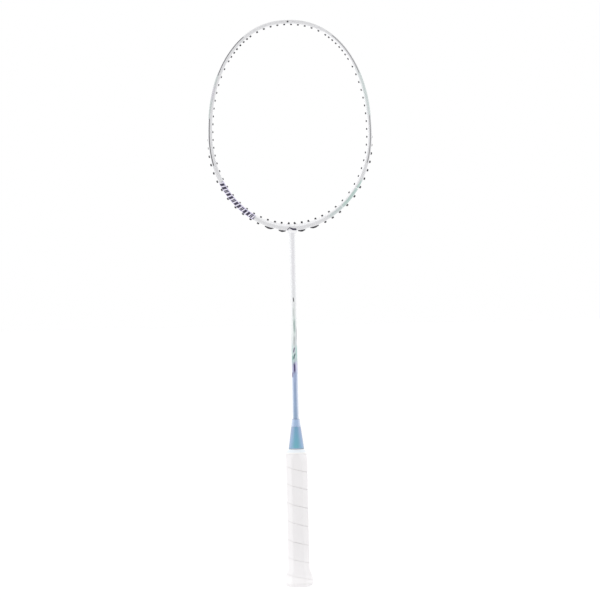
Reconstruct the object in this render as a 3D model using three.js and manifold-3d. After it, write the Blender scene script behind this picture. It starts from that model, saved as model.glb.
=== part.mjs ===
// An unstrung badminton racket, standing upright on its butt end.
// Millimetres. Z runs up the racket from the middle of the butt face, the string
// plane is XZ, and the front of the racket looks along -Y.
// A hoop with a string hole for every string end is carried by a T-shaped joint on a
// thin tube, which runs down through a cone into a wooden handle wound with grip tape.
import * as THREE from "three";
import { mergeVertices } from "three/addons/utils/BufferGeometryUtils.js";
import Module from "manifold-3d";

const wasm = await Module();
wasm.setup();

// Overall sizes
const racketLength = 675;
const headLength = 249.9;
const headWidth = 195.5;
const widestDrop = 136.5;
const throatHeight = racketLength - headLength;
const widestHeight = racketLength - widestDrop;

// Clearances: between pieces that seat on each other, round the shaft, and past a cut
const fit = 0.3;
const shaftFit = 0.25;
const overrun = 2;

// Hoop: width across its wall and depth from front to back, from the crown to the throat
const crownWidth = 4.9;
const sideWidth = 5.6;
const flankWidth = 6.3;
const throatWidth = 6.5;
const crownDepth = 10.2;
const sideDepth = 10.4;
const flankDepth = 10.8;
const throatDepth = 11;
const hoopKeyShares = [0, 0.45, 0.8, 1];
const crownRoundness = 2.15;
const throatRoundness = 2.02;
const wallRoundness = 2.6;
const wallAngles = [38, 64, 90, 118, 148];
const stationStep = 7.6;
const throatStationStep = 2.1;
const probeStep = 0.95;

// String groove round the outside of the upper half of the hoop
const grooveDepth = 1.4;
const grooveFloorHalf = 1.4;
const grooveLipHalf = 2;
const grooveFade = 5;

// String pattern. The outermost main and the end crosses stand at shares of the hoop's
// half-width, of its rise to the crown and of its drop to the throat.
const mainsPerSide = 9;
const lastMainShare = 0.74;
const lastMainPitchShare = 0.845;
const crossCount = 17;
const topCrossShare = 0.675;
const lowestCrossShare = 0.569;
const cornerCrossCount = 3;
const sunkCrossCount = 10;

// Grommets
const barrelRadius = 1.15;
const boreRadius = 0.6;
const tipReach = 1.1;
const headRadius = 1.7;
const headThickness = 1.5;
const headCrownShare = 0.68;
const headRimShare = 0.6;
const grommetSides = 6;

// Two-hole grommet strips: in the string groove, and under the throat. The throat strips
// and their holes are spaced by the pitch of the mains.
const grooveStripThickness = 0.8;
const grooveStripHalf = grooveFloorHalf - fit;
const grooveStripEnd = 1.9;
const throatStripThickness = 1.5;
const throatStripHalf = 1.9;
const throatStripEnd = 1.6;
const throatStripSpacingShare = 0.636;
const throatStripPlaceShares = [1.3, 3.2];
const throatStripRimShare = 0.6;
const throatStripEndShare = 0.35;

// Bulges of the frame that carry the throat strips
const bulgeHeight = 0.9;
const bulgeReach = 8;

// T joint inside the throat, and the boss where the shaft enters
const jointArmReach = 34;
const jointInset = 1.5;
const jointThickness = 2.9;
const jointDepth = 5.4;
const jointStemLength = 42;
const bossWall = 0.45;
const bossFlare = 0.5;
const bossDrop = 4.5;
const bossShoulderShare = 0.4;

// Shaft
const shaftRadius = 3.5;
const shaftWall = 1;
const shaftBottom = 60;

// Cone with its collar
const coneLength = 35.4;
const coneBottomRadius = 9;
const coneRim = 0.8;
const collarLength = 9.1;
const collarWall = 0.35;
const collarChamfer = 0.6;
const collarLip = 0.15;

// Handle: wooden core, wound grip and finishing band
const gripWidth = 25.3;
const gripDepth = 22;
const gripFrontFlat = 12.5;
const gripTop = 159.3;
const gripTopRadius = 11.1;
const roundingLength = 18.3;
const tapeThickness = 1.9;
const tapePitch = 21.3;
const tapeGap = 0.6;
const tapeBevel = 0.9;
const tapeEdgeShare = 0.5;
const tapeEndWidth = 3.3;
const tapeKneeStep = 0.4;
const seamDrop = 18.5;
const bandThickness = 0.7;
const bandHeight = 4;
const tenonWall = 1.85;
const tenonLength = 10;

// Butt flare and cap
const flareHeights = [9, 16, 25];
const flareGrowths = [3.95, 1.75, 0.15];
const buttGrowth = 4.15;
const coreButtGrowth = 3;
const coreFlareTop = 22;
const coreShoulderLength = 23.3;
const capHeight = 4.5;
const capHeightShares = [0, 0.08, 0.28, 0.6, 1];
const capRadiusShares = [0.45, 0.72, 0.9, 0.98, 1];
const capPlugRadius = 5.6;
const capPlugLength = 7;

// Crown vent plug
const ventRadius = 1.1;
const ventDepth = 3;
const ventProud = 0.15;

const roundSides = 24;
const smallSides = 10;
const Y = new THREE.Vector3(0, 1, 0);

const paints = {
  pearlWhite: new THREE.MeshStandardMaterial({ color: 0xeef0f1, roughness: 0.28, metalness: 0.1 }),
  shaftPaint: new THREE.MeshStandardMaterial({ color: 0xb9d3d6, roughness: 0.3, metalness: 0.15 }),
  conePaint: new THREE.MeshStandardMaterial({ color: 0x83adca, roughness: 0.35, metalness: 0.2 }),
  collarPaint: new THREE.MeshStandardMaterial({ color: 0xbccbea, roughness: 0.35, metalness: 0.1 }),
  grommetBlack: new THREE.MeshStandardMaterial({ color: 0x26282b, roughness: 0.55, metalness: 0 }),
  gripWhite: new THREE.MeshStandardMaterial({ color: 0xf1efef, roughness: 0.8, metalness: 0 }),
  bandWhite: new THREE.MeshStandardMaterial({ color: 0xe9f0f6, roughness: 0.5, metalness: 0 }),
  wood: new THREE.MeshStandardMaterial({ color: 0xc89b63, roughness: 0.7, metalness: 0 }),
  capWhite: new THREE.MeshStandardMaterial({ color: 0xf3f4f4, roughness: 0.55, metalness: 0 }),
  jointGrey: new THREE.MeshStandardMaterial({ color: 0x55585c, roughness: 0.5, metalness: 0.3 }),
};

const racket = new THREE.Group();

function addPiece(name, geometry, material) {
  const mesh = new THREE.Mesh(geometry, material);
  mesh.name = name;
  racket.add(mesh);
  return mesh;
}

function clamp(value, low, high) {
  return Math.min(Math.max(value, low), high);
}

// Value at share u between keyed values, eased so that no key shows as a corner.
function easedBetween(keys, values, u) {
  let k = 0;
  while (k < keys.length - 2 && u > keys[k + 1]) k++;
  const t = clamp((u - keys[k]) / (keys[k + 1] - keys[k]), 0, 1);
  return values[k] + (values[k + 1] - values[k]) * t * t * (3 - 2 * t);
}

// Value at z on straight lines between keyed heights.
function straightBetween(keys, values, z) {
  let k = 0;
  while (k < keys.length - 2 && z > keys[k + 1]) k++;
  const t = clamp((z - keys[k]) / (keys[k + 1] - keys[k]), 0, 1);
  return values[k] + (values[k + 1] - values[k]) * t;
}

// Places from one value up to, but not at, another, about a step apart.
function spread(from, to, step) {
  const count = Math.max(Math.round((to - from) / step), 1);
  return Array.from({ length: count }, (_, k) => from + ((to - from) * k) / count);
}

// Solids and geometries

function toSolid(geometry) {
  const bare = geometry.clone();
  bare.deleteAttribute("normal");
  bare.deleteAttribute("uv");
  const merged = mergeVertices(bare);
  return new wasm.Manifold(
    new wasm.Mesh({
      numProp: 3,
      vertProperties: new Float32Array(merged.attributes.position.array),
      triVerts: new Uint32Array(merged.index.array),
    }),
  );
}

function toGeometry(solid) {
  const mesh = solid.getMesh();
  const geometry = new THREE.BufferGeometry();
  geometry.setAttribute("position", new THREE.BufferAttribute(mesh.vertProperties, 3));
  geometry.setIndex(new THREE.BufferAttribute(mesh.triVerts, 1));
  return geometry;
}

function signedVolume(points, index) {
  let sum = 0;
  for (let i = 0; i < index.length; i += 3) {
    const [a, b, c] = [points[index[i]], points[index[i + 1]], points[index[i + 2]]];
    sum += a.dot(b.clone().cross(c));
  }
  return sum;
}

// Skin through rings of equally many points. A ring of rings closes on itself, and an
// open row of rings gets a flat end at both ends. Faces are turned to look outwards.
function loft(rings, closed) {
  const count = rings[0].length;
  const points = rings.flat();
  const index = [];
  const last = closed ? rings.length : rings.length - 1;
  for (let r = 0; r < last; r++) {
    const here = r * count;
    const next = ((r + 1) % rings.length) * count;
    for (let p = 0; p < count; p++) {
      const q = (p + 1) % count;
      index.push(here + p, next + p, next + q, here + p, next + q, here + q);
    }
  }
  if (!closed) {
    const end = (rings.length - 1) * count;
    for (let p = 1; p < count - 1; p++) {
      index.push(0, p, p + 1, end, end + p + 1, end + p);
    }
  }
  if (signedVolume(points, index) < 0) index.reverse();
  const geometry = new THREE.BufferGeometry().setFromPoints(points);
  geometry.setIndex(index);
  return geometry;
}

// Solid of revolution about Z, from a closed outline of [radius, height] pairs.
function turned(outline, sides) {
  const profile = [...outline, outline[0]].map(([r, z]) => new THREE.Vector2(r, z));
  const geometry = new THREE.LatheGeometry(profile, sides).rotateX(Math.PI / 2);
  const merged = mergeVertices(geometry.deleteAttribute("normal").deleteAttribute("uv"));
  const points = [];
  const position = merged.attributes.position;
  for (let i = 0; i < position.count; i++) {
    points.push(new THREE.Vector3().fromBufferAttribute(position, i));
  }
  const index = [...merged.index.array];
  if (signedVolume(points, index) < 0) merged.setIndex(index.reverse());
  return merged;
}

function disc(radius, low, high, sides) {
  return turned([[0, low], [radius, low], [radius, high], [0, high]], sides);
}

// The inner wall of the hoop, an egg of two half superellipses. Arc length is counted
// from the crown, positive down the right side and negative down the left side.
const innerHalfWidth = headWidth / 2 - sideWidth;
const crownRise = racketLength - crownWidth - widestHeight;
const throatDrop = widestHeight - throatHeight - throatWidth;
const wallTable = [];
const wallTableSteps = 3000;
for (let i = 0; i <= wallTableSteps; i++) {
  const turn = Math.PI * (0.5 - i / wallTableSteps);
  const rise = turn > 0 ? crownRise : throatDrop;
  const power = 2 / (turn > 0 ? crownRoundness : throatRoundness);
  const x = innerHalfWidth * Math.max(Math.cos(turn), 0) ** power;
  const z = widestHeight + Math.sign(turn) * rise * Math.abs(Math.sin(turn)) ** power;
  const before = wallTable[i - 1];
  const arc = before ? before.arc + Math.hypot(x - before.x, z - before.z) : 0;
  wallTable.push({ arc, x, z });
}
const halfArc = wallTable[wallTableSteps].arc;

function wallPoint(arc) {
  const folded = halfArc - Math.abs(halfArc - Math.abs(arc));
  const side = Math.sign(arc) * (Math.abs(arc) > halfArc ? -1 : 1);
  let low = 0;
  let high = wallTableSteps;
  while (high - low > 1) {
    const middle = (low + high) >> 1;
    if (wallTable[middle].arc > folded) high = middle;
    else low = middle;
  }
  const [a, b] = [wallTable[low], wallTable[high]];
  const t = (folded - a.arc) / (b.arc - a.arc);
  return new THREE.Vector3(side * (a.x + (b.x - a.x) * t), 0, a.z + (b.z - a.z) * t);
}

// Unit vector out of the hoop, square to its wall in the string plane.
function wallOut(arc) {
  const along = wallPoint(arc + probeStep).sub(wallPoint(arc - probeStep)).normalize();
  return new THREE.Vector3(-along.z, 0, along.x);
}

function offWall(arc, outwards, y) {
  return wallPoint(arc).addScaledVector(wallOut(arc), outwards).addScaledVector(Y, y);
}

// Arc where the right inner wall first passes a test, walking down from the crown.
function arcWhere(test) {
  return wallTable.find(test).arc;
}

// String holes. The mains are evenly spaced, but for a narrower last one at the crown.

const lastMainX = innerHalfWidth * lastMainShare;
const mainPitch = lastMainX / (mainsPerSide - 1.5 + lastMainPitchShare);

function mainX(k) {
  return (k + 0.5) * mainPitch;
}

const topMainXs = [];
for (let k = 0; k < mainsPerSide - 1; k++) topMainXs.push(mainX(k));
topMainXs.push(lastMainX);
const cornerXs = [];
for (let k = 0; k < cornerCrossCount; k++) {
  const right = topMainXs.length - 1 - k;
  cornerXs.unshift((topMainXs[right] + topMainXs[right - 1]) / 2);
}
const upperArcs = [...topMainXs, ...cornerXs]
  .sort((a, b) => a - b)
  .map((x) => arcWhere((p) => p.x >= x && p.z > widestHeight));
const topCross = widestHeight + crownRise * topCrossShare;
const lowestCross = widestHeight - throatDrop * lowestCrossShare;
const crossArcs = [];
for (let k = 0; k < crossCount; k++) {
  const height = topCross + ((lowestCross - topCross) * k) / (crossCount - 1);
  crossArcs.push(arcWhere((p) => p.z <= height));
}
const lowerMainArcs = [];
for (let k = mainsPerSide - 1; k >= 0; k--) {
  lowerMainArcs.push(arcWhere((p) => p.x <= mainX(k) && p.z < widestHeight));
}
const sunkArcs = [...upperArcs, ...crossArcs.slice(0, sunkCrossCount)];
const throatStripArcs = throatStripPlaceShares.map((share) => share * mainPitch);
const throatStripSpacing = throatStripSpacingShare * mainPitch;
const throatHoleCount = 2 * throatStripArcs.length;
const proudArcs = [
  ...crossArcs.slice(sunkCrossCount),
  ...lowerMainArcs.slice(0, mainsPerSide - throatHoleCount),
];
const throatArcs = lowerMainArcs.slice(mainsPerSide - throatHoleCount);
const grooveEnd = (sunkArcs[sunkArcs.length - 1] + proudArcs[0]) / 2;

// Hoop section at an arc: its width, its depth and how deep the groove is there

function hoopWidth(arc) {
  const widths = [crownWidth, sideWidth, flankWidth, throatWidth];
  const fromThroat = Math.abs(halfArc - Math.abs(arc));
  let width = easedBetween(hoopKeyShares, widths, 1 - fromThroat / halfArc);
  for (const centre of throatStripArcs) {
    const reach = Math.abs(fromThroat - centre) / bulgeReach;
    if (reach < 1) width += (bulgeHeight * (1 + Math.cos(Math.PI * reach))) / 2;
  }
  return width;
}

function hoopDepth(arc) {
  const depths = [crownDepth, sideDepth, flankDepth, throatDepth];
  const fromThroat = Math.abs(halfArc - Math.abs(arc));
  return easedBetween(hoopKeyShares, depths, 1 - fromThroat / halfArc);
}

function grooveAt(arc) {
  const past = (Math.abs(arc) - grooveEnd) / grooveFade + 0.5;
  return grooveDepth * (1 - clamp(past, 0, 1));
}

function hoopRing(arc) {
  const halfWidth = hoopWidth(arc) / 2;
  const halfDepth = hoopDepth(arc) / 2;
  const power = 2 / wallRoundness;
  const outerWall = (y) =>
    halfWidth * (1 + (1 - (y / halfDepth) ** wallRoundness) ** (1 / wallRoundness));
  const half = [
    [outerWall(grooveFloorHalf) - grooveAt(arc), grooveFloorHalf],
    [outerWall(grooveLipHalf), grooveLipHalf],
  ];
  for (const degrees of wallAngles) {
    const angle = THREE.MathUtils.degToRad(degrees);
    const reach = Math.sign(Math.cos(angle)) * Math.abs(Math.cos(angle)) ** power;
    half.push([halfWidth * (1 + reach), halfDepth * Math.sin(angle) ** power]);
  }
  const other = half.map(([n, y]) => [n, -y]).reverse();
  return [...half, ...other].map(([n, y]) => offWall(arc, n, y));
}

// Holes: each runs from a point on the inner wall to a point outside, both at y = 0

function straightHole(arc) {
  const from = wallPoint(arc);
  const depth = hoopWidth(arc) - grooveAt(arc);
  return { arc, from, to: offWall(arc, depth, 0), depth };
}

function slantedHole(arc, exitArc) {
  const from = wallPoint(arc);
  const to = offWall(exitArc, hoopWidth(exitArc), 0);
  return { arc, from, to, depth: from.distanceTo(to) };
}

// Turns a piece made along Z so that it runs out along a hole from the inner wall.
function alongHole(hole, geometry) {
  const out = hole.to.clone().sub(hole.from).normalize();
  const side = Y.clone().cross(out);
  const matrix = new THREE.Matrix4().makeBasis(side, Y, out).setPosition(hole.from);
  return geometry.applyMatrix4(matrix);
}

function drill(hole, radius) {
  return toSolid(alongHole(hole, disc(radius, -overrun, hole.depth + overrun, grommetSides)));
}

// One grommet: a bored barrel with a domed head on the outside of the hoop.
function singleGrommet(hole) {
  const seat = hole.depth + fit;
  const outline = [
    [boreRadius, -tipReach],
    [barrelRadius, -tipReach],
    [barrelRadius, seat],
    [headRadius, seat],
    [headRadius, seat + headThickness * headRimShare],
    [headRadius * headCrownShare, seat + headThickness],
    [boreRadius, seat + headThickness],
  ];
  return alongHole(hole, turned(outline, grommetSides));
}

// Two bored barrels on one strip that follows the outside of the hoop.
function stripGrommet(holes, arcs, strip) {
  const rings = [];
  for (let k = 0; k <= strip.steps; k++) {
    const share = k / strip.steps;
    const arc = arcs[0] + (arcs[1] - arcs[0]) * share;
    const swell = Math.sin(Math.PI * share);
    const thickness = strip.thickness * (strip.endShare + (1 - strip.endShare) * swell);
    const base = hoopWidth(arc) - grooveAt(arc) + fit;
    const rim = base + thickness * strip.rimShare;
    const edge = strip.half * strip.rimShare;
    const ring = [
      offWall(arc, base, -strip.half),
      offWall(arc, base, strip.half),
      offWall(arc, rim, strip.half),
      offWall(arc, rim, -strip.half),
    ];
    const crown = [offWall(arc, base + thickness, edge), offWall(arc, base + thickness, -edge)];
    if (strip.rimShare < 1) ring.splice(3, 0, ...crown);
    rings.push(ring);
  }
  let solid = toSolid(loft(rings, false));
  for (const hole of holes) {
    const top = hole.depth + fit + strip.thickness / 2;
    const barrel = disc(barrelRadius, -tipReach, top, grommetSides);
    solid = solid.add(toSolid(alongHole(hole, barrel)));
  }
  for (const hole of holes) solid = solid.subtract(drill(hole, boreRadius));
  return toGeometry(solid);
}

const sides = [
  { name: "right", sign: 1 },
  { name: "left", sign: -1 },
];
const grooveStrip = {
  half: grooveStripHalf,
  thickness: grooveStripThickness,
  endShare: 1,
  rimShare: 1,
  steps: 2,
};
const throatStrip = {
  half: throatStripHalf,
  thickness: throatStripThickness,
  endShare: throatStripEndShare,
  rimShare: throatStripRimShare,
  steps: 6,
};
const throatStripNames = ["inner", "outer"];
const holes = [];

function addGrommets({ name, sign }) {
  for (let k = 0; k < sunkArcs.length; k += 2) {
    const [first, second] = [sign * sunkArcs[k], sign * sunkArcs[k + 1]];
    const pair = [straightHole(first), straightHole(second)];
    const ends = [first - sign * grooveStripEnd, second + sign * grooveStripEnd];
    const geometry = stripGrommet(pair, ends, grooveStrip);
    addPiece(`groove_grommet_${name}_${k / 2 + 1}`, geometry, paints.grommetBlack);
    holes.push(...pair);
  }
  proudArcs.forEach((arc, k) => {
    const hole = straightHole(sign * arc);
    addPiece(`flank_grommet_${name}_${k + 1}`, singleGrommet(hole), paints.grommetBlack);
    holes.push(hole);
  });
  throatStripArcs.forEach((centre, k) => {
    const firstMain = throatArcs.length - 1 - 2 * k;
    const middle = sign * (halfArc - centre);
    const reach = (sign * throatStripSpacing) / 2;
    const pair = [
      slantedHole(sign * throatArcs[firstMain], middle + reach),
      slantedHole(sign * throatArcs[firstMain - 1], middle - reach),
    ];
    const end = reach + sign * throatStripEnd;
    const geometry = stripGrommet(pair, [middle - end, middle + end], throatStrip);
    addPiece(`throat_strip_${throatStripNames[k]}_${name}`, geometry, paints.grommetBlack);
    holes.push(...pair);
  });
}

// T joint: two arms that follow the throat inside the frame, and a stem into the shaft

const jointUnderside = throatHeight + throatWidth - jointInset - jointThickness;
const jointStemRadius = shaftRadius - shaftWall - fit;
const jointStemTop = jointUnderside + jointThickness / 2;
const jointStemBottom = jointUnderside - jointStemLength;
const bore = shaftRadius + shaftFit;
const shaftTop = jointUnderside - fit;

function jointArms(grow) {
  const rings = [];
  const reach = jointArmReach + grow;
  const count = Math.round(reach / throatStationStep);
  for (let k = 0; k <= count; k++) {
    const arc = halfArc - reach + (2 * reach * k) / count;
    const low = jointInset - grow;
    const high = jointInset + jointThickness + grow;
    const half = jointDepth / 2 + grow;
    rings.push([
      offWall(arc, low, -half),
      offWall(arc, low, half),
      offWall(arc, high, half),
      offWall(arc, high, -half),
    ]);
  }
  return toSolid(loft(rings, false));
}

function tJoint() {
  const stem = disc(jointStemRadius, jointStemBottom, jointStemTop, smallSides);
  let solid = jointArms(0).add(toSolid(stem));
  const inReach = holes.filter((hole) => halfArc - Math.abs(hole.arc) < jointArmReach + overrun);
  for (const hole of inReach) solid = solid.subtract(drill(hole, barrelRadius + fit));
  return toGeometry(solid);
}

// Head frame: the drilled hoop with its groove, its throat bulges, the socket for the
// shaft and the closed-in seat of the T joint.
function headFrame() {
  const fadeStart = grooveEnd - grooveFade / 2;
  const fadeEnd = grooveEnd + grooveFade / 2;
  const fineStart = halfArc - jointArmReach;
  const arcs = [
    ...spread(0, fadeStart, stationStep),
    ...spread(fadeStart, fadeEnd, grooveFade),
    ...spread(fadeEnd, fineStart, stationStep),
    ...spread(fineStart, halfArc, throatStationStep),
  ];
  const left = arcs.slice(1).map((arc) => -arc);
  const loop = [...arcs, halfArc, ...left.reverse()];
  const bossBottom = throatHeight - bossDrop;
  const bossRadius = bore + bossWall;
  const boss = turned(
    [
      [0, jointUnderside],
      [bossRadius + bossFlare, jointUnderside],
      [bossRadius + bossFlare, throatHeight],
      [bossRadius, throatHeight - bossDrop * bossShoulderShare],
      [bossRadius, bossBottom],
      [0, bossBottom],
    ],
    roundSides,
  );
  const socket = disc(bore, bossBottom - overrun, jointUnderside, roundSides);
  const vent = disc(ventRadius + fit, -overrun, ventDepth + fit, smallSides);
  vent.rotateX(-Math.PI / 2).translate(0, -crownDepth / 2, racketLength - crownWidth / 2);
  let solid = toSolid(loft(loop.map(hoopRing), true)).add(toSolid(boss));
  solid = solid.subtract(toSolid(socket)).subtract(jointArms(fit)).subtract(toSolid(vent));
  for (const hole of holes) solid = solid.subtract(drill(hole, barrelRadius + fit));
  return toGeometry(solid);
}

function crownPlug() {
  const plug = turned(
    [
      [0, -ventProud],
      [ventRadius - ventProud, -ventProud],
      [ventRadius, 0],
      [ventRadius, ventDepth],
      [0, ventDepth],
    ],
    smallSides,
  );
  return plug.rotateX(-Math.PI / 2).translate(0, -crownDepth / 2, racketLength - crownWidth / 2);
}

function shaft() {
  const inner = shaftRadius - shaftWall;
  return turned(
    [
      [inner, shaftBottom],
      [shaftRadius, shaftBottom],
      [shaftRadius, shaftTop],
      [inner, shaftTop],
    ],
    roundSides,
  );
}

// Cone: it stands on the finishing band, and its side is one straight line from the
// collar's top to the rim

const neckRadius = gripTopRadius - tapeThickness - bandThickness - fit;
const neckTop = gripTop + fit + bandHeight;
const tenonRadius = bore + tenonWall;
const tenonTop = neckTop + tenonLength;
const coneBottom = neckTop + fit;
const coneTop = coneBottom + coneLength;
const coneTopRadius = bore + collarWall;
const collarBottom = coneTop - collarLength;

function coneRadius(z) {
  const share = (coneTop - z) / (coneTop - coneBottom);
  return coneTopRadius + (coneBottomRadius - coneTopRadius) * share;
}

function cone() {
  const socket = tenonRadius + fit;
  const socketTop = tenonTop + fit;
  const top = collarBottom - fit;
  return turned(
    [
      [bore, socketTop],
      [socket, socketTop],
      [socket, coneBottom],
      [coneBottomRadius, coneBottom],
      [coneBottomRadius, coneBottom + coneRim],
      [coneRadius(top), top],
      [bore, top],
    ],
    roundSides,
  );
}

function coneCollar() {
  const chamferHeight = coneTop - collarChamfer;
  return turned(
    [
      [bore, collarBottom],
      [coneRadius(collarBottom), collarBottom],
      [coneRadius(chamferHeight), chamferHeight],
      [coneTopRadius - collarLip, coneTop],
      [bore, coneTop],
    ],
    roundSides,
  );
}

// Outside of the wound grip: an octagon, flared at the butt and rounded at the top

const bevelReach = gripFrontFlat / 2 + gripDepth / 2;
const frontCorner = Math.atan2(gripDepth / 2, gripFrontFlat / 2);
const sideCorner = Math.atan2(bevelReach - gripWidth / 2, gripWidth / 2);
const quarter = [
  0,
  sideCorner,
  (sideCorner + frontCorner) / 2,
  frontCorner,
  Math.PI / 2,
];
const rightAngles = [...quarter, ...quarter.slice(1, -1).reverse().map((a) => Math.PI - a)];
const gripAngles = [...rightAngles, ...rightAngles.map((a) => a + Math.PI)];

const roundingStart = gripTop - roundingLength;
const growthHeights = [capHeight, ...flareHeights, roundingStart];
const growths = [buttGrowth, ...flareGrowths, 0];

// Distance from the axis to the octagon, grown alike all round.
function octagon(angle, growth) {
  const c = Math.abs(Math.cos(angle));
  const s = Math.abs(Math.sin(angle));
  const side = gripWidth / 2 / Math.max(c, Number.EPSILON);
  const front = gripDepth / 2 / Math.max(s, Number.EPSILON);
  const scale = 1 + growth / (gripWidth / 2);
  return scale * Math.min(side, front, bevelReach / (c + s));
}

function gripRadius(angle, z) {
  const full = octagon(angle, straightBetween(growthHeights, growths, z));
  const t = clamp((z - roundingStart) / (gripTop - roundingStart), 0, 1);
  return full + (gripTopRadius - full) * t * t;
}

function aroundGrip(angle, z, inwards) {
  const radius = gripRadius(angle, z) - inwards;
  return new THREE.Vector3(radius * Math.cos(angle), radius * Math.sin(angle), z);
}

// Grip tape: one strip that winds down to the right on the front of the handle. Its
// edges are skived, and it is cut level at the cap and at the finishing band. The first
// seam on the front starts at the left corner, a set way down from the grip's top.

const tapeBottom = capHeight + fit;
const seamHeight = gripTop - seamDrop;
const seamStart = seamHeight + (tapePitch * (frontCorner + Math.PI)) / (2 * Math.PI);

function tapeSection(angle) {
  const seam = seamStart - (tapePitch * angle) / (2 * Math.PI);
  const high = Math.min(seam - tapeGap / 2, gripTop);
  const low = Math.max(seam - tapePitch + tapeGap / 2, tapeBottom);
  return { low, high };
}

function tapeRing(angle) {
  const { low, high } = tapeSection(angle);
  const nearButt = low < flareHeights[flareHeights.length - 1];
  const shoulder = (roundingStart + gripTop) / 2;
  const knees = nearButt ? flareHeights : [roundingStart, shoulder];
  const lowEdge = low + tapeBevel;
  const highEdge = high - tapeBevel;
  const first = clamp(knees[0], lowEdge + tapeKneeStep, highEdge - 2 * tapeKneeStep);
  const second = clamp(knees[1], first + tapeKneeStep, highEdge - tapeKneeStep);
  const edge = tapeThickness * tapeEdgeShare;
  return [
    aroundGrip(angle, low, tapeThickness),
    aroundGrip(angle, low, edge),
    aroundGrip(angle, lowEdge, 0),
    aroundGrip(angle, first, 0),
    aroundGrip(angle, second, 0),
    aroundGrip(angle, highEdge, 0),
    aroundGrip(angle, high, edge),
    aroundGrip(angle, high, tapeThickness),
    aroundGrip(angle, nearButt ? second : first, tapeThickness),
  ];
}

function tapeRings() {
  const rings = [];
  const turns = Math.ceil((gripTop - tapeBottom) / tapePitch) + 2;
  for (let turn = -turns; turn <= turns; turn++) {
    for (const corner of gripAngles) {
      const angle = corner + 2 * Math.PI * turn;
      const { low, high } = tapeSection(angle);
      if (high - low >= tapeEndWidth) rings.push(tapeRing(angle));
    }
  }
  return rings;
}

// Least distance between points of the tape that lie more than half a turn apart.
function leastTapeGap(rings) {
  const halfTurn = gripAngles.length / 2;
  let least = Infinity;
  rings.forEach((ring, k) => {
    for (const other of rings.slice(k + halfTurn, k + 4 * halfTurn)) {
      for (const p of ring) {
        for (const q of other) least = Math.min(least, p.distanceTo(q));
      }
    }
  });
  return least;
}

const windings = tapeRings();
console.log(`Least gap between turns of the grip tape: ${leastTapeGap(windings).toFixed(2)} mm`);

// Wooden core: the octagon under the tape, a round neck and a tenon into the cone. Its
// flare and its shoulder are straight, a little inside the hollows of the tape.
function handleCore() {
  const inwards = tapeThickness + fit;
  const coreShoulder = gripTop - coreShoulderLength;
  const sections = [
    { z: tapeBottom, growth: coreButtGrowth, toNeck: 0 },
    { z: coreFlareTop, growth: 0, toNeck: 0 },
    { z: coreShoulder, growth: 0, toNeck: 0 },
    { z: gripTop, growth: 0, toNeck: 1 },
  ];
  const rings = sections.map(({ z, growth, toNeck }) =>
    gripAngles.map((angle) => {
      const full = octagon(angle, growth) - inwards;
      const radius = full + (neckRadius - full) * toNeck;
      return new THREE.Vector3(radius * Math.cos(angle), radius * Math.sin(angle), z);
    }),
  );
  const neck = disc(neckRadius, coreShoulder, neckTop, roundSides);
  const tenon = disc(tenonRadius, coreShoulder, tenonTop, roundSides);
  const shaftBore = disc(bore, shaftBottom - fit, tenonTop + overrun, roundSides);
  const plugTop = capHeight + capPlugLength + fit;
  const plugBore = disc(capPlugRadius + fit, 0, plugTop, roundSides);
  let solid = toSolid(loft(rings, false)).add(toSolid(neck)).add(toSolid(tenon));
  solid = solid.subtract(toSolid(shaftBore)).subtract(toSolid(plugBore));
  return toGeometry(solid);
}

function finishingBand() {
  const inner = neckRadius + fit;
  const outer = inner + bandThickness;
  return turned(
    [
      [inner, gripTop + fit],
      [outer, gripTop + fit],
      [outer, neckTop],
      [inner, neckTop],
    ],
    roundSides,
  );
}

// Butt cap: a shallow dome with a flat middle, and a plug into the wooden core
function buttCap() {
  const rings = capHeightShares.map((share, k) =>
    gripAngles.map((angle) => {
      const radius = gripRadius(angle, capHeight) * capRadiusShares[k];
      const z = capHeight * share;
      return new THREE.Vector3(radius * Math.cos(angle), radius * Math.sin(angle), z);
    }),
  );
  const plug = disc(capPlugRadius, capHeight / 2, capHeight + capPlugLength, roundSides);
  return toGeometry(toSolid(loft(rings, false)).add(toSolid(plug)));
}

sides.forEach(addGrommets);
addPiece("head_frame", headFrame(), paints.pearlWhite);
addPiece("t_joint", tJoint(), paints.jointGrey);
addPiece("crown_plug", crownPlug(), paints.grommetBlack);
addPiece("shaft", shaft(), paints.shaftPaint);
addPiece("cone_collar", coneCollar(), paints.collarPaint);
addPiece("cone", cone(), paints.conePaint);
addPiece("handle_core", handleCore(), paints.wood);
addPiece("grip_tape", loft(windings, false), paints.gripWhite);
addPiece("finishing_band", finishingBand(), paints.bandWhite);
addPiece("butt_cap", buttCap(), paints.capWhite);

export default racket;
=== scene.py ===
# %% [markdown]
# A badminton racket, dressed for the camera
#
# The racket stands upright on its butt end. Z runs up it, the string plane is XZ and its
# front looks along -Y. The construction comes packed as a frame of plain solids, and every
# fine surface below is worked out around it, in metres and in the same place. Each cell
# prints what it made.

# %% Load the frame
import math

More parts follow.
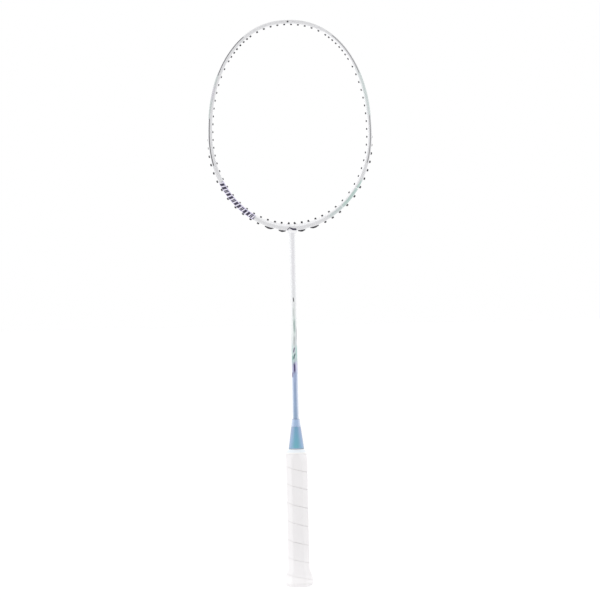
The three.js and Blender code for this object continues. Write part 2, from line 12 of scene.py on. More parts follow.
import bmesh
import bpy
import numpy as np
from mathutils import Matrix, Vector


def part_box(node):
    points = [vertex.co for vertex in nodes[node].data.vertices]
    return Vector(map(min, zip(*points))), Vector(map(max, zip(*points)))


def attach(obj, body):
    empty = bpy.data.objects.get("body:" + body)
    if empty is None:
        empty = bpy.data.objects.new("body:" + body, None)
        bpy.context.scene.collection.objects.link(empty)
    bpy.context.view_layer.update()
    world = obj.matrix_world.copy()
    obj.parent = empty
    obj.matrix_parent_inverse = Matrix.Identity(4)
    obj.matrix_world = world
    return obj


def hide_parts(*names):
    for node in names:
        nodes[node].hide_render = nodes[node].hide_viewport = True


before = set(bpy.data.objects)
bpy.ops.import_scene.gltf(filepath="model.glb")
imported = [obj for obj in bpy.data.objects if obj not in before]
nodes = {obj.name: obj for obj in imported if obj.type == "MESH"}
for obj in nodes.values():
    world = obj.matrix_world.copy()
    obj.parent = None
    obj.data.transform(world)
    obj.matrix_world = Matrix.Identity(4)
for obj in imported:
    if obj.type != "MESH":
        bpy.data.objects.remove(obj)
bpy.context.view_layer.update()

racket_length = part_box("head_frame")[1].z

# %% [markdown]
# Camera
#
# The photograph looks at the racket squarely from the front, and the racket leans a little
# over a degree to the left in it. Two points fix the whole view: the top of the crown and
# the middle of the butt. Their distance in pixels gives the scale, and their slope gives
# the roll. A long lens from three metres away keeps the perspective as flat as a catalogue
# picture has it.

# %% Place the camera
IMAGE_SIDE = 600
crown_pixel, butt_pixel = np.array([287.5, 19.9]), np.array([299.3, 586.2])
camera_distance = 3.0
sensor_width = 36.0

axis_pixels = crown_pixel - butt_pixel
metres_per_pixel = racket_length / np.hypot(*axis_pixels)
roll = math.atan2(-axis_pixels[0], -axis_pixels[1])
image_right = Vector((math.cos(roll), 0, -math.sin(roll)))
image_up = Vector((math.sin(roll), 0, math.cos(roll)))
middle_offset = (IMAGE_SIDE / 2 - butt_pixel) * metres_per_pixel
aim = image_right * middle_offset[0] - image_up * middle_offset[1]

camera_data = bpy.data.cameras.new("catalogue_camera")
camera_data.sensor_width = sensor_width
camera_data.lens = sensor_width * camera_distance / (IMAGE_SIDE * metres_per_pixel)
camera = bpy.data.objects.new("catalogue_camera", camera_data)
camera.location = aim - Vector((0, camera_distance, 0))
camera.rotation_euler = (math.pi / 2, roll, 0)
bpy.context.scene.collection.objects.link(camera)
bpy.context.scene.camera = camera
print(f"camera: {camera_data.lens:.0f} mm lens, rolled {math.degrees(roll):.2f} degrees")

# %% [markdown]
# From a grid of points to a mesh
#
# Nearly every piece here is one grid of points: rows along a path, columns around a
# section. Quads join each point to the next in its row and in its column. One helper turns
# such a grid into a mesh, so that each piece below is only its own formula. Ends and poles
# are closed by a row that shrinks to one point, and merging doubles then welds that row.

# %% Helpers for grids and meshes
WELD = 1e-7
SHARP_ANGLE = math.radians(38)


def grid_quads(rows, columns, rows_close=False):
    """Corner numbers of the quads of a grid: point (r, c) is number r * columns + c, and
    each quad joins it to row r + 1 and column c + 1. Columns always wrap round."""
    r = np.arange(rows if rows_close else rows - 1)[:, None]
    c = np.arange(columns)[None, :]
    below, beside = (r + 1) % rows, (c + 1) % columns
    corners = [r * columns + c, below * columns + c, below * columns + beside, r * columns + beside]
    return np.stack(np.broadcast_arrays(*corners), axis=-1)


def close_ends(grid):
    """Adds a first and a last row in which every point is the mean of the end row."""
    first = np.broadcast_to(grid[0].mean(axis=0), grid[0].shape)
    last = np.broadcast_to(grid[-1].mean(axis=0), grid[-1].shape)
    return np.concatenate([first[None], grid, last[None]])


def add_mesh(name, points, quads, values=None):
    """A smooth object from points (n, 3) and quads (m, 4). Each array in values becomes a
    point attribute of that name. Doubles are merged and faces turned to look outwards."""
    mesh = bpy.data.meshes.new(name)
    mesh.from_pydata(points.reshape(-1, 3), [], quads.reshape(-1, 4))
    for key, numbers in (values or {}).items():
        layer = mesh.attributes.new(key, "FLOAT", "POINT")
        layer.data.foreach_set("value", np.ascontiguousarray(numbers, np.float32).ravel())
    work = bmesh.new()
    work.from_mesh(mesh)
    bmesh.ops.remove_doubles(work, verts=work.verts, dist=WELD)
    bmesh.ops.recalc_face_normals(work, faces=work.faces)
    work.to_mesh(mesh)
    work.free()
    mesh.shade_smooth()
    mesh.set_sharp_from_angle(angle=SHARP_ANGLE)
    piece = bpy.data.objects.new(name, mesh)
    bpy.context.scene.collection.objects.link(piece)
    return piece


print("grid helpers ready")


# %% Helpers for round parts and for seating a piece
def full_turn(sides):
    """Angles of that many even steps round a circle."""
    return np.linspace(0, 2 * np.pi, sides, endpoint=False)


def round_points(radius, angle, height):
    """Points (r cos a, r sin a, z) about the racket's axis."""
    radius, angle, height = np.broadcast_arrays(radius, angle, height)
    return np.stack([radius * np.cos(angle), radius * np.sin(angle), height], axis=-1)


def turned(name, profile, sides):
    """A solid of revolution about Z: each (radius, height) of a closed profile becomes a
    row of points, and the last row joins the first."""
    profile = np.array(profile)
    points = round_points(profile[:, :1], full_turn(sides), profile[:, 1:])
    return add_mesh(name, points, grid_quads(len(profile), sides, rows_close=True))


def seat(piece, material, slot, *replaced):
    """Gives a finished piece its material and rides it on the racket. The slot is not used."""
    piece.data.materials.append(material)
    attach(piece, "root")
    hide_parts(*replaced)


def smooth_step(value, start, end):
    """From 0 at start to 1 at end by the curve 3t^2 - 2t^3, and level outside. It falls as
    the value grows where start is the larger one."""
    t = np.clip((value - start) / (end - start), 0, 1)
    return t * t * (3 - 2 * t)


print("round helpers ready")

# %% [markdown]
# Hoop: the line it follows
#
# A badminton head is an egg: nearly round below and longer above. Each half is a
# superellipse, where x and z are powers of the cosine and the sine. A fine table of that
# curve with its running length lets everything on the hoop be placed by one number, the
# distance along the wall from the crown: positive down the right side, negative down the
# left.

# %% The inner wall of the hoop
head_length, head_width = 0.2499, 0.1955
widest_drop = 0.1365
crown_width, side_width, flank_width, throat_width = 0.0049, 0.0056, 0.0063, 0.0065
crown_depth, side_depth, flank_depth, throat_depth = 0.0102, 0.0104, 0.0108, 0.0110
crown_roundness, throat_roundness = 2.18, 2.02
table_size = 4001
probe = 0.001

widest_height = racket_length - widest_drop
throat_height = racket_length - head_length
crown_rise = racket_length - crown_width - widest_height
throat_drop = widest_height - throat_height - throat_width
inner_half_width = head_width / 2 - side_width

turn = np.linspace(np.pi / 2, -np.pi / 2, table_size)
reach_up = np.where(turn > 0, crown_rise, throat_drop)
power = 2 / np.where(turn > 0, crown_roundness, throat_roundness)
table_x = inner_half_width * np.clip(np.cos(turn), 0, 1) ** power
table_z = widest_height + np.sign(turn) * reach_up * np.abs(np.sin(turn)) ** power
table_arc = np.concatenate([[0], np.cumsum(np.hypot(np.diff(table_x), np.diff(table_z)))])
half_arc = table_arc[-1]


def wall(arc):
    """(x, z) of the inner wall at signed distances from the crown, wrapping at the throat."""
    folded = half_arc - np.abs(half_arc - np.abs(arc))
    side = np.sign(arc) * np.where(np.abs(arc) > half_arc, -1, 1)
    x, z = np.interp(folded, table_arc, table_x), np.interp(folded, table_arc, table_z)
    return np.stack([side * x, z], axis=-1)


def off_wall(arc, outwards, y):
    """The point that lies outwards from the wall, square to it, and y behind the string
    plane. Outwards is the wall's own direction turned a quarter."""
    along = wall(arc + probe) - wall(arc - probe)
    along = along / np.linalg.norm(along, axis=-1, keepdims=True)
    x = wall(arc)[..., 0] - along[..., 1] * outwards
    z = wall(arc)[..., 1] + along[..., 0] * outwards
    return np.stack(np.broadcast_arrays(x, y, z), axis=-1)


print(f"hoop: {2000 * half_arc:.0f} mm round the inside")

# %% [markdown]
# Hoop: where the strings would go
#
# Every string end has a hole through the hoop. Mains cross the crown and the throat, and
# cross strings the sides. Near the two shoulders of the crown a cross hole sits between
# the last mains. Down to the widest part the holes open into a groove, which hides the
# grommets, and from there on they end on the bare outside. The four nearest the shaft on
# each side share two strips.

# %% Places of the string holes
mains_per_side, cross_count, corner_count, sunk_cross_count = 9, 17, 3, 10
last_main_share, last_pitch_share = 0.74, 0.845
top_cross_share, low_cross_share = 0.675, 0.569
throat_place_shares = np.array([1.3, 3.2])
throat_spacing_share = 0.636

last_main = inner_half_width * last_main_share
main_pitch = last_main / (mains_per_side - 1.5 + last_pitch_share)
main_x = (np.arange(mains_per_side) + 0.5) * main_pitch
top_x = np.append(main_x[:-1], last_main)
corner_x = (top_x[-corner_count:] + top_x[-corner_count - 1:-1]) / 2
highest_cross = widest_height + crown_rise * top_cross_share
lowest_cross = widest_height - throat_drop * low_cross_share
cross_z = np.linspace(highest_cross, lowest_cross, cross_count)
upper = table_z >= widest_height
top_arcs = np.interp(np.sort(np.append(top_x, corner_x)), table_x[upper], table_arc[upper])
cross_arcs = np.interp(-cross_z, -table_z, table_arc)
low_arcs = np.interp(-main_x[::-1], -table_x[~upper], table_arc[~upper])

strip_centres = throat_place_shares * main_pitch
strip_reach = throat_spacing_share * main_pitch / 2
throat_holes = 2 * len(strip_centres)
sunk_arcs = np.concatenate([top_arcs, cross_arcs[:sunk_cross_count]])
proud_arcs = np.concatenate([cross_arcs[sunk_cross_count:], low_arcs[:-throat_holes]])
throat_in = low_arcs[-throat_holes:]
throat_out = half_arc - np.sort((strip_centres + [[-strip_reach], [strip_reach]]).ravel())[::-1]
groove_end = (sunk_arcs[-1] + proud_arcs[0]) / 2
hole_in = np.concatenate([sunk_arcs, proud_arcs, throat_in])
hole_out = np.concatenate([sunk_arcs, proud_arcs, throat_out])
print(f"holes: {len(sunk_arcs)} sunk, {len(proud_arcs)} proud, {len(throat_in)} slanted a side")

# %% [markdown]
# Hoop: its section
#
# Cut across, the tube is a rounded box, flat enough on its faces to carry paint. It grows
# from the crown to the throat, and at the flanks and the throat the skin stands half a
# millimetre fuller than the construction. It swells a little under each throat strip and
# drops into a short boss that takes the shaft. The groove round the outside is pressed in
# over the upper half and runs out past the widest point, so that the heads of the first
# three single grommets are partly sunk in it. All of that is a few functions of the
# distance along the wall.

# %% Section of the hoop
key_shares = np.array([0, 0.45, 0.8, 1])
section_power = 2.6
groove_depth, groove_floor, groove_lip = 0.0014, 0.0014, 0.0020
groove_full, groove_gone = 0.006, 0.032
flank_swell, throat_swell = 0.0005, 0.0006
bulge_heights, bulge_reach = (0.0010, 0.0005), 0.0105
boss_drop, boss_core, boss_foot = 0.0039, 0.0040, 0.0062
width_keys = [crown_width, side_width, flank_width + flank_swell, throat_width + throat_swell]
depth_keys = [crown_depth, side_depth, flank_depth, throat_depth]


def eased(arc, keys):
    """Value between keys at key_shares of the half hoop, eased so no key shows."""
    share = 1 - np.abs(half_arc - np.abs(arc)) / half_arc
    k = np.clip(np.searchsorted(key_shares, share) - 1, 0, len(keys) - 2)
    keys = np.asarray(keys)
    return keys[k] + (keys[k + 1] - keys[k]) * smooth_step(share, key_shares[k], key_shares[k + 1])


def hoop_width(arc):
    """Eased width, plus half a cosine wave over each throat strip."""
    width = eased(arc, width_keys)
    from_throat = np.abs(half_arc - np.abs(arc))
    for centre, height in zip(strip_centres, bulge_heights):
        reach = np.clip(np.abs(from_throat - centre) / bulge_reach, 0, 1)
        width = width + height * (1 + np.cos(np.pi * reach)) / 2
    return width


def hoop_depth(arc):
    """Eased depth from front to back."""
    return eased(arc, depth_keys)


def groove(arc, y):
    """Depth of the groove: full on its floor, eased out at its lips and at its end."""
    ending = smooth_step(np.abs(arc), groove_end + groove_gone, groove_end + groove_full)
    return groove_depth * ending * smooth_step(np.abs(y), groove_lip, groove_floor)


def boss(arc, y):
    """Drop of the boss: full round the shaft, eased out to nothing at its foot."""
    away = np.hypot(half_arc - np.abs(arc), y)
    return boss_drop * smooth_step(away, boss_foot, boss_core)


def fullness(arc, y):
    """Share of the half width at depth y, a superellipse: (1 - |2y / depth|^p)^(1 / p)."""
    deep = hoop_depth(arc) / 2
    return (1 - np.clip(np.abs(y) / deep, 0, 1) ** section_power) ** (1 / section_power)


def outer_wall(arc, y):
    """Distance of the outside from the inner wall's line, less the groove, plus the boss."""
    return hoop_width(arc) / 2 * (1 + fullness(arc, y)) - groove(arc, y) + boss(arc, y)


def inner_wall(arc, y):
    """Distance of the inside from the inner wall's line: 0 in the string plane."""
    return hoop_width(arc) / 2 * (1 - fullness(arc, y))


print(f"section: {1000 * hoop_width(0.0):.1f} mm wide at the crown, "
      f"{1000 * hoop_width(half_arc):.1f} mm at the throat")

# %% [markdown]
# Hoop: a drilled surface
#
# A real hoop is drilled, so its skin runs through every hole. A boolean cut would leave
# torn shading, so the holes are part of the grid instead. Five rows and five columns
# bracket each mouth, the sixteen quads between them are left out, and rings of sixteen
# points lead from that square gap to a round mouth, down the bore and out of the other
# side. The same helper later makes the two-hole grommet strips, whose rings lead round a
# barrel instead.

# %% A grid with holes through it
gap_rows = np.array([-2, -1, 0, 1, 2, 2, 2, 2, 2, 1, 0, -1, -2, -2, -2, -2])
gap_columns = np.array([-2, -2, -2, -2, -2, -1, 0, 1, 2, 2, 2, 2, 2, 1, 0, -1])
gap_angles = np.arctan2(gap_columns, gap_rows)


def drilled(name, grid, centres, over, under, rings, values, rows_close):
    """Grid (R, C, 3) with a tunnel at each row in centres, from column over to column
    under on the other side of the section. rings (H, n, 16, 3) lead through it."""
    rows, columns = grid.shape[:2]
    quads = grid_quads(rows, columns, rows_close)
    keep = np.ones(quads.shape[:2], bool)
    cell = np.arange(-2, 2)
    for column in (over, under):
        r = (centres[:, None, None] + cell[None, :, None]) % rows
        keep[r, (column + cell[None, None, :]) % columns] = False
    holes, depth, count = rings.shape[:3]
    r = (centres[:, None] + gap_rows[None, :]) % rows
    first = r * columns + (over + gap_columns) % columns
    last = r * columns + (under - gap_columns) % columns
    inner = rows * columns + np.arange(holes * depth * count).reshape(holes, depth, count)
    chain = np.concatenate([first[:, None], inner, last[:, None]], axis=1)
    around = np.roll(chain, -1, axis=2)
    links = np.stack([chain[:, :-1], around[:, :-1], around[:, 1:], chain[:, 1:]], axis=-1)
    points = np.concatenate([grid.reshape(-1, 3), rings.reshape(-1, 3)])
    faces = np.concatenate([quads[keep], links.reshape(-1, 4)])
    used, faces = np.unique(faces, return_inverse=True)
    kept = {key: numbers[used] for key, numbers in values.items()}
    return add_mesh(name, points[used], faces.reshape(-1, 4), kept)


print(f"each hole: {len(gap_angles)} points round")

# %% [markdown]
# Hoop: rows that lean with the holes
#
# Next to the shaft the holes slant, so a row of the grid meets the inner wall at one place
# and the outer wall at another. Each row holds both places, and a point of the section
# takes its share between them. Elsewhere both are the same.

# %% Rows of the hoop
gap_in, gap_out = 0.0016, 0.0014
row_step, boss_step = 0.0019, 0.00036
bracket = np.array([-1, -0.5, 0, 0.5, 1])


def right_side_rows():
    """Inner and outer distance of each row from crown to throat, and the row of each hole.
    Five rows bracket a hole, one stands at the throat, and even rows fill the stretches."""
    inner, outer, centres = [0.0], [0.0], []
    stops = zip(np.append(hole_in, half_arc), np.append(hole_out, half_arc))
    for k, (place_in, place_out) in enumerate(stops):
        is_hole = k < len(hole_in)
        spread = bracket if is_hole else bracket[2:3]
        block_in, block_out = place_in + gap_in * spread, place_out + gap_out * spread
        gap = max(block_in[0] - inner[-1], block_out[0] - outer[-1])
        count = max(int(round(gap / (row_step if is_hole else boss_step))), 1)
        inner.extend(np.linspace(inner[-1], block_in[0], count + 1)[1:-1])
        outer.extend(np.linspace(outer[-1], block_out[0], count + 1)[1:-1])
        if is_hole:
            centres.append(len(inner) + 2)
        inner.extend(block_in)
        outer.extend(block_out)
    return np.array(inner), np.array(outer), np.array(centres)


row_in, row_out, right_rows = right_side_rows()
total_rows = 2 * (len(row_in) - 1)
hoop_in = np.concatenate([row_in, -row_in[-2:0:-1]])
hoop_out = np.concatenate([row_out, -row_out[-2:0:-1]])
hole_rows = np.concatenate([right_rows, total_rows - right_rows])
sides = np.repeat([1, -1], len(hole_in))
mouth_in, mouth_out = np.tile(hole_in, 2) * sides, np.tile(hole_out, 2) * sides
print(f"hoop grid: {total_rows} rows, {len(hole_rows)} holes")

# %% [markdown]
# Hoop: its skin
#
# Each row holds one half of the section, from the outside over the front to the inside,
# and the back mirrors it. Points lie close together on the lips of the groove and round
# the corners, where the light would show every flat. Each point also keeps two numbers for
# the paint: how far round the hoop it lies, and how far across the wall.

# %% Points of the hoop
lip_steps = np.linspace(0, 1, 5)[1:]
corner_angles = np.radians([26, 36, 46, 56, 66, 78, 90, 102, 114, 124, 134, 144, 155])
hole_radius, hole_round = 0.00135, 0.00022


def hoop_columns(arc_in, arc_out):
    """Half of the section at each row, from the outside over the front to the inside:
    (distance along the wall, distance outwards, depth)."""
    arc_in, arc_out = arc_in[:, None], arc_out[:, None]
    lips = groove_floor + lip_steps * (groove_lip - groove_floor)
    y_out = np.append(np.array([0, 0.5, 1]) * gap_out, lips)[None, :] + 0 * arc_out
    c, s = np.cos(corner_angles)[None, :], np.sin(corner_angles)[None, :]
    middle = arc_out + (arc_in - arc_out) * (1 - c) / 2
    y_mid = hoop_depth(middle) / 2 * s ** (2 / section_power)
    y_in = np.array([1, 0.5, 0])[None, :] * gap_in + 0 * arc_in
    front = np.where(c >= 0, outer_wall(middle, y_mid), inner_wall(middle, y_mid))
    along = [arc_out + 0 * y_out, middle, arc_in + 0 * y_in]
    outwards = [outer_wall(arc_out, y_out), front, inner_wall(arc_in, y_in)]
    return [np.concatenate(part, axis=1) for part in (along, outwards, [y_out, y_mid, y_in])]


def both_halves(half, sign=1):
    """The whole section from its front half, which the back mirrors."""
    return np.concatenate([half, sign * half[:, -2:0:-1]], axis=1)


def hoop_rings():
    """Four rings through each hole: the mouth outside, the bore just under it, the bore
    above the inside, and the mouth inside. Each is a circle along and across the wall."""
    steps = [(mouth_out, outer_wall, hole_round, 0), (mouth_out, outer_wall, 0, -hole_round),
             (mouth_in, inner_wall, 0, hole_round), (mouth_in, inner_wall, hole_round, 0)]
    made = []
    for mouth, surface, wider, lift in steps:
        radius = hole_radius + wider
        arc = mouth[:, None] + radius * np.cos(gap_angles)
        y = radius * np.sin(gap_angles) + 0 * arc
        outwards = surface(arc, y) + lift
        made.append((off_wall(arc, outwards, y), arc, outwards))
    return [np.stack(part, axis=1) for part in zip(*made)]


arcs, outwards, depths = hoop_columns(hoop_in, hoop_out)
arcs, outwards, depths = both_halves(arcs), both_halves(outwards), both_halves(depths, -1)
rings, ring_arcs, ring_outwards = hoop_rings()
all_arcs = np.concatenate([arcs.ravel(), ring_arcs.ravel()])
all_outwards = np.concatenate([outwards.ravel(), ring_outwards.ravel()])
hoop_values = {"along": np.abs(all_arcs) / half_arc, "across": all_outwards / hoop_width(all_arcs)}
hoop = drilled("lacquered_hoop", off_wall(arcs, outwards, depths), hole_rows, 0,
               arcs.shape[1] // 2, rings, hoop_values, rows_close=True)
print(f"hoop: {len(hoop.data.polygons)} faces")

# %% [markdown]
# Grommets: single ones
#
# A grommet keeps the string off the sharp edge of the hole. It is an injection moulded
# barrel that is pushed in from outside, until its head rests on the hoop and its tip looks
# out inside. A lathe profile makes one in its own axes, and the same points are then laid
# along each hole. The tips look out further near the shaft than at the sides, so a short
# table gives their length round the hoop.

# %% Single grommets
bore_radius, barrel_radius, head_radius = 0.0006, 0.00115, 0.00153
head_top, seat_gap = 0.00172, 0.00004
grommet_sides = 24
# Lengths of the tips, from the left side of the throat over the crown to the right.
tip_places = np.array([-1, -0.93, -0.80, -0.30, -0.22, -0.12, -0.03, 0.05, 0.30, 0.78, 0.93, 1])
tip_reaches = np.array([2.4, 1.9, 1.1, 1.0, 1.4, 1.6, 1.3, 1.3, 1.2, 1.2, 2.1, 2.5]) / 1000


def tip_reach(arc):
    """Length of the tip that shows inside the hoop: straight between the known places."""
    return np.interp(arc / half_arc, tip_places, tip_reaches)


def hole_axis(arc_in, arc_out, lift=0.0):
    """Start on the inner wall, direction out and length of a hole that ends lift above the
    outside, and the direction square to it along the wall."""
    start = off_wall(arc_in, 0.0, 0.0)
    end = off_wall(arc_out, outer_wall(arc_out, 0.0) + lift, 0.0)
    length = np.linalg.norm(end - start)
    out = (end - start) / length
    return start, out, length, np.array([out[2], 0, -out[0]])


def along_hole(axis, angles, profile):
    """Points start + distance out + radius (cos a along + sin a back), with a row for each
    (radius, distance) of the profile."""
    start, out, _, along = axis
    back = np.array([0, 1, 0])
    ring = np.cos(angles)[:, None] * along + np.sin(angles)[:, None] * back
    radius, distance = profile[:, :1, None], profile[:, 1:, None]
    return start + distance * out + radius * ring


def grommet_profile(length, tip):
    """(radius, distance) from the bore round the tip, along the barrel and over the head."""
    rest, top = length + seat_gap, length + head_top
    return np.array([
        (bore_radius, -tip + 0.0002), (bore_radius + 0.0001, -tip),
        (barrel_radius - 0.0002, -tip), (barrel_radius, -tip + 0.00022),
        (barrel_radius, rest), (head_radius - 0.0001, rest), (head_radius, rest + 0.0001),
        (head_radius, rest + 0.0008), (0.93 * head_radius, top - 0.0005),
        (0.78 * head_radius, top - 0.00018), (0.6 * head_radius, top),
        (bore_radius + 0.00012, top - 0.00002), (bore_radius, top - 0.0002),
    ])


grommets = []
for side_name, sign in (("right", 1), ("left", -1)):
    for k, arc in enumerate(sign * proud_arcs):
        axis = hole_axis(arc, arc)
        profile = grommet_profile(axis[2], tip_reach(arc))
        points = along_hole(axis, full_turn(grommet_sides), profile)
        node = f"flank_grommet_{side_name}_{k + 1}"
        piece = add_mesh(f"{node}_moulded", points, grid_quads(*points.shape[:2], rows_close=True))
        grommets.append((piece, node))
print(f"single grommets: {len(grommets)}")

# %% [markdown]
# Grommets: strips
#
# In the groove the grommets come in pairs on a thin strip, so that a string which runs
# from one hole to the next lies on plastic, not on carbon. Under the throat the strips are
# thicker and crescent shaped, and they show as four dark dashes. Each outer one ends in a
# thin tail towards the shaft. A strip is an end-capped grid along the outside of the hoop,
# and its two bores use the same drilled grid as the hoop: from the mouth down the bore,
# round the tip, and back up outside the barrel.

# %% Sections and rows of the strips
strip_gap = 0.00125
end_steps = np.array([0, 0.04, 0.15, 0.35, 0.65])
mouth_radius, root_radius = 0.0010, 0.0012
strip_tail = 0.0019
# Half sections: y, and the share of the thickness above the base.
groove_strip = {
    "reach": 0.0019, "thickness": 0.0011, "end_share": 1, "round_reach": 0.0009,
    "section": np.array([(0.00131, 0.97), (0.00135, 0.85), (0.00135, 0.15), (0.00131, 0.02)]),
}
throat_strip = {
    "reach": 0.0016, "thickness": 0.0018, "end_share": 0.22, "round_reach": 0.0016,
    "section": np.array([(0.0016, 0.90), (0.00182, 0.72), (0.0019, 0.5), (0.0019, 0.1), (0.0018, 0)]),
}


def strip_rows(first, second, reach, tail):
    """Growing distances of the rows, five of them round each hole, and closer at the ends
    where the strip rounds off. The end next to the second hole is longer by the tail."""
    if first < second:
        low, high = first - reach, second + reach + tail
    else:
        first, second = second, first
        low, high = first - reach - tail, second + reach
    start = low + end_steps * (first - strip_gap - low)
    finish = high - end_steps[::-1] * (high - second - strip_gap)
    middle = np.linspace(first + strip_gap, second - strip_gap, 6)[1:-1]
    around = strip_gap * bracket
    rows = np.concatenate([start, first + around, middle, second + around, finish])
    return rows, np.array([len(start) + 2, len(start) + 7 + len(middle)])


print(f"strips: {len(sunk_arcs) // 2} in the groove and {throat_holes // 2} under the throat, a side")


# %% Strips and their bores
def ring_on_hoop(arc, radius, lift):
    """A ring round a hole that lies lift above the middle line of the outside."""
    arcs = arc + radius * np.cos(gap_angles)
    return off_wall(arcs, outer_wall(arcs, 0.0) + lift, radius * np.sin(gap_angles))


def barrel_rings(arc_in, arc_out, thickness):
    """Rings from the mouth on the strip down the bore, round the tip, and up the barrel."""
    axis = hole_axis(arc_in, arc_out, seat_gap)
    length, tip = axis[2], -tip_reach(arc_in)
    profile = np.array([
        (0.0007, length + thickness - 0.0001), (bore_radius, length + thickness - 0.0003),
        (bore_radius, tip + 0.0002), (bore_radius + 0.0001, tip),
        (barrel_radius - 0.0002, tip), (barrel_radius, tip + 0.0002), (barrel_radius, length - 0.0002),
    ])
    rim = ring_on_hoop(arc_out, mouth_radius, seat_gap + thickness)
    foot = ring_on_hoop(arc_out, root_radius, seat_gap)
    return np.concatenate([rim[None], along_hole(axis, gap_angles, profile), foot[None]])


def add_strip(node, ins, outs, reach, thickness, end_share, round_reach, section, tail=0):
    """A strip with two bored barrels, and the node it stands for. Its thickness follows half
    a sine wave from end_share to full, and its width shrinks as a quarter circle over
    round_reach at each end."""
    rows, centres = strip_rows(*outs, reach, tail)
    share = (rows - rows[0]) / (rows[-1] - rows[0])
    full = thickness * (end_share + (1 - end_share) * np.sin(np.pi * share))
    to_end = np.minimum(rows - rows[0], rows[-1] - rows)
    narrow = np.sqrt(1 - (1 - np.clip(to_end / round_reach, 0, 1)) ** 2) * 0.86 + 0.14
    flat = strip_gap * np.array([0, 0.5, 1])
    y = np.concatenate([flat, section[:, 0], flat[::-1]])
    lift = np.concatenate([[1, 1, 1], section[:, 1], [0, 0, 0]])
    y, lift = np.append(y, -y[-2:0:-1]), np.append(lift, lift[-2:0:-1])
    base = outer_wall(rows, 0.0) + seat_gap
    rounded = full * (0.55 + 0.45 * narrow)
    grid = off_wall(rows[:, None], base[:, None] + rounded[:, None] * lift, narrow[:, None] * y)
    pairs = sorted(zip(outs, ins))
    rings = np.stack([barrel_rings(inner, outer, np.interp(outer, rows, full)) for outer, inner in pairs])
    piece = drilled(f"{node}_moulded", close_ends(grid), centres + 1, 0, len(y) // 2, rings, {},
                    rows_close=False)
    return piece, node


for side_name, sign in (("right", 1), ("left", -1)):
    for k in range(0, len(sunk_arcs), 2):
        pair = sign * sunk_arcs[k:k + 2]
        node = f"groove_grommet_{side_name}_{k // 2 + 1}"
        grommets.append(add_strip(node, pair, pair, **groove_strip))
    for k, (place, tail) in enumerate((("outer", strip_tail), ("inner", 0))):
        pair_in, pair_out = sign * throat_in[2 * k:2 * k + 2], sign * throat_out[2 * k:2 * k + 2]
        node = f"throat_strip_{place}_{side_name}"
        grommets.append(add_strip(node, pair_in, pair_out, tail=tail, **throat_strip))
print(f"grommets in all: {len(grommets)}")

# %% [markdown]
# Crown plug
#
# Air has to leave the hollow hoop while it cures, through a small hole at the crown. A
# rubber plug closes it afterwards and shows as one dark dot. It is turned about the
# racket's axis, then laid over so that its own axis runs from front to back.

# %% Crown plug
plug_radius, plug_proud, plug_depth = 0.0011, 0.00015, 0.003
plug_profile = np.array([
    (0, -plug_proud * 0.7), (0.0003, -plug_proud * 0.75), (0.0004, -plug_proud), (0.0009, -plug_proud),
    (0.00105, -plug_proud * 0.5), (plug_radius, 0.00005), (plug_radius, plug_depth), (0, plug_depth),
])
upright = round_points(plug_profile[:, :1], full_turn(32), plug_profile[:, 1:])
plug_place = np.array([0, -crown_depth / 2, racket_length - crown_width / 2])
plug = add_mesh("vent_plug", upright[..., [0, 2, 1]] + plug_place, grid_quads(*upright.shape[:2]))
print(f"plug: {2000 * plug_radius:.1f} mm across")

# %% [markdown]
# Shaft, cone and collar
#
# These three are round, so a lathe is the natural tool: one closed profile each, turned
# about the axis. Profiles carry the small things that catch the light, such as the eased
# rim of the cone, the fine seam where the collar meets it and the soft top edge that
# leads on to the shaft.

# %% Shaft, cone and collar
shaft_low, shaft_high = (corner.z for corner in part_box("shaft"))
shaft_radius, shaft_wall, shaft_edge = 0.0035, 0.001, 0.0003
shaft_bore = shaft_radius - shaft_wall
cone_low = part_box("cone")[0].z
collar_low, collar_top = (corner.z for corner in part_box("cone_collar"))
cone_radius_low, cone_radius_high = 0.0093, 0.0044
cone_bore, tenon_bore, tenon_top = 0.00375, 0.0059, 0.1739
seam = 0.00012


def side_point(z, inwards=0.0):
    """(radius, z) on the straight side from the foot of the cone to the collar's top."""
    share = (collar_top - z) / (collar_top - cone_low)
    return cone_radius_high + (cone_radius_low - cone_radius_high) * share - inwards, z


shaft_profile = [
    (shaft_bore, shaft_low), (shaft_radius - shaft_edge, shaft_low),
    (shaft_radius, shaft_low + shaft_edge), (shaft_radius, shaft_high - shaft_edge),
    (shaft_radius - shaft_edge, shaft_high), (shaft_bore, shaft_high),
]
cone_profile = [
    (cone_bore, tenon_top), (tenon_bore, tenon_top), (tenon_bore, cone_low),
    (cone_radius_low - 0.0004, cone_low), (cone_radius_low - 0.0001, cone_low + 0.00012),
    (cone_radius_low, cone_low + 0.0004), (cone_radius_low, cone_low + 0.0008),
    side_point(cone_low + 0.0012, 0.0001), side_point(cone_low + 0.0015, 0.00012),
    side_point(cone_low + 0.0017), side_point(collar_low - 2 * seam),
    side_point(collar_low - seam, 0.0001), (cone_bore, collar_low - seam),
]
collar_profile = [
    (cone_bore, collar_low), side_point(collar_low, 0.0001), side_point(collar_low + 0.00015),
    side_point(collar_top - 0.0009), side_point(collar_top - 0.0005, 0.00005),
    side_point(collar_top - 0.0002, 0.00015), side_point(collar_top, 0.0003),
    (cone_bore, collar_top),
]
shaft = turned("carbon_shaft", shaft_profile, 64)
cone = turned("handle_cone", cone_profile, 96)
collar = turned("shaft_collar", collar_profile, 96)
print(f"shaft: {1000 * (shaft_high - shaft_low):.0f} mm long; cone and collar turned")

# %% [markdown]
# Grip: its outline
#
# Under the tape lies a wooden octagon, so the grip is a rounded octagon too. It flares
# softly towards the butt. At its top a round cone cuts it, as a pencil is cut, so that
# each flat ends in an arch. The shoulder is a little fuller on both sides, and most on the
# left, where the last turn of the tape laps over itself.

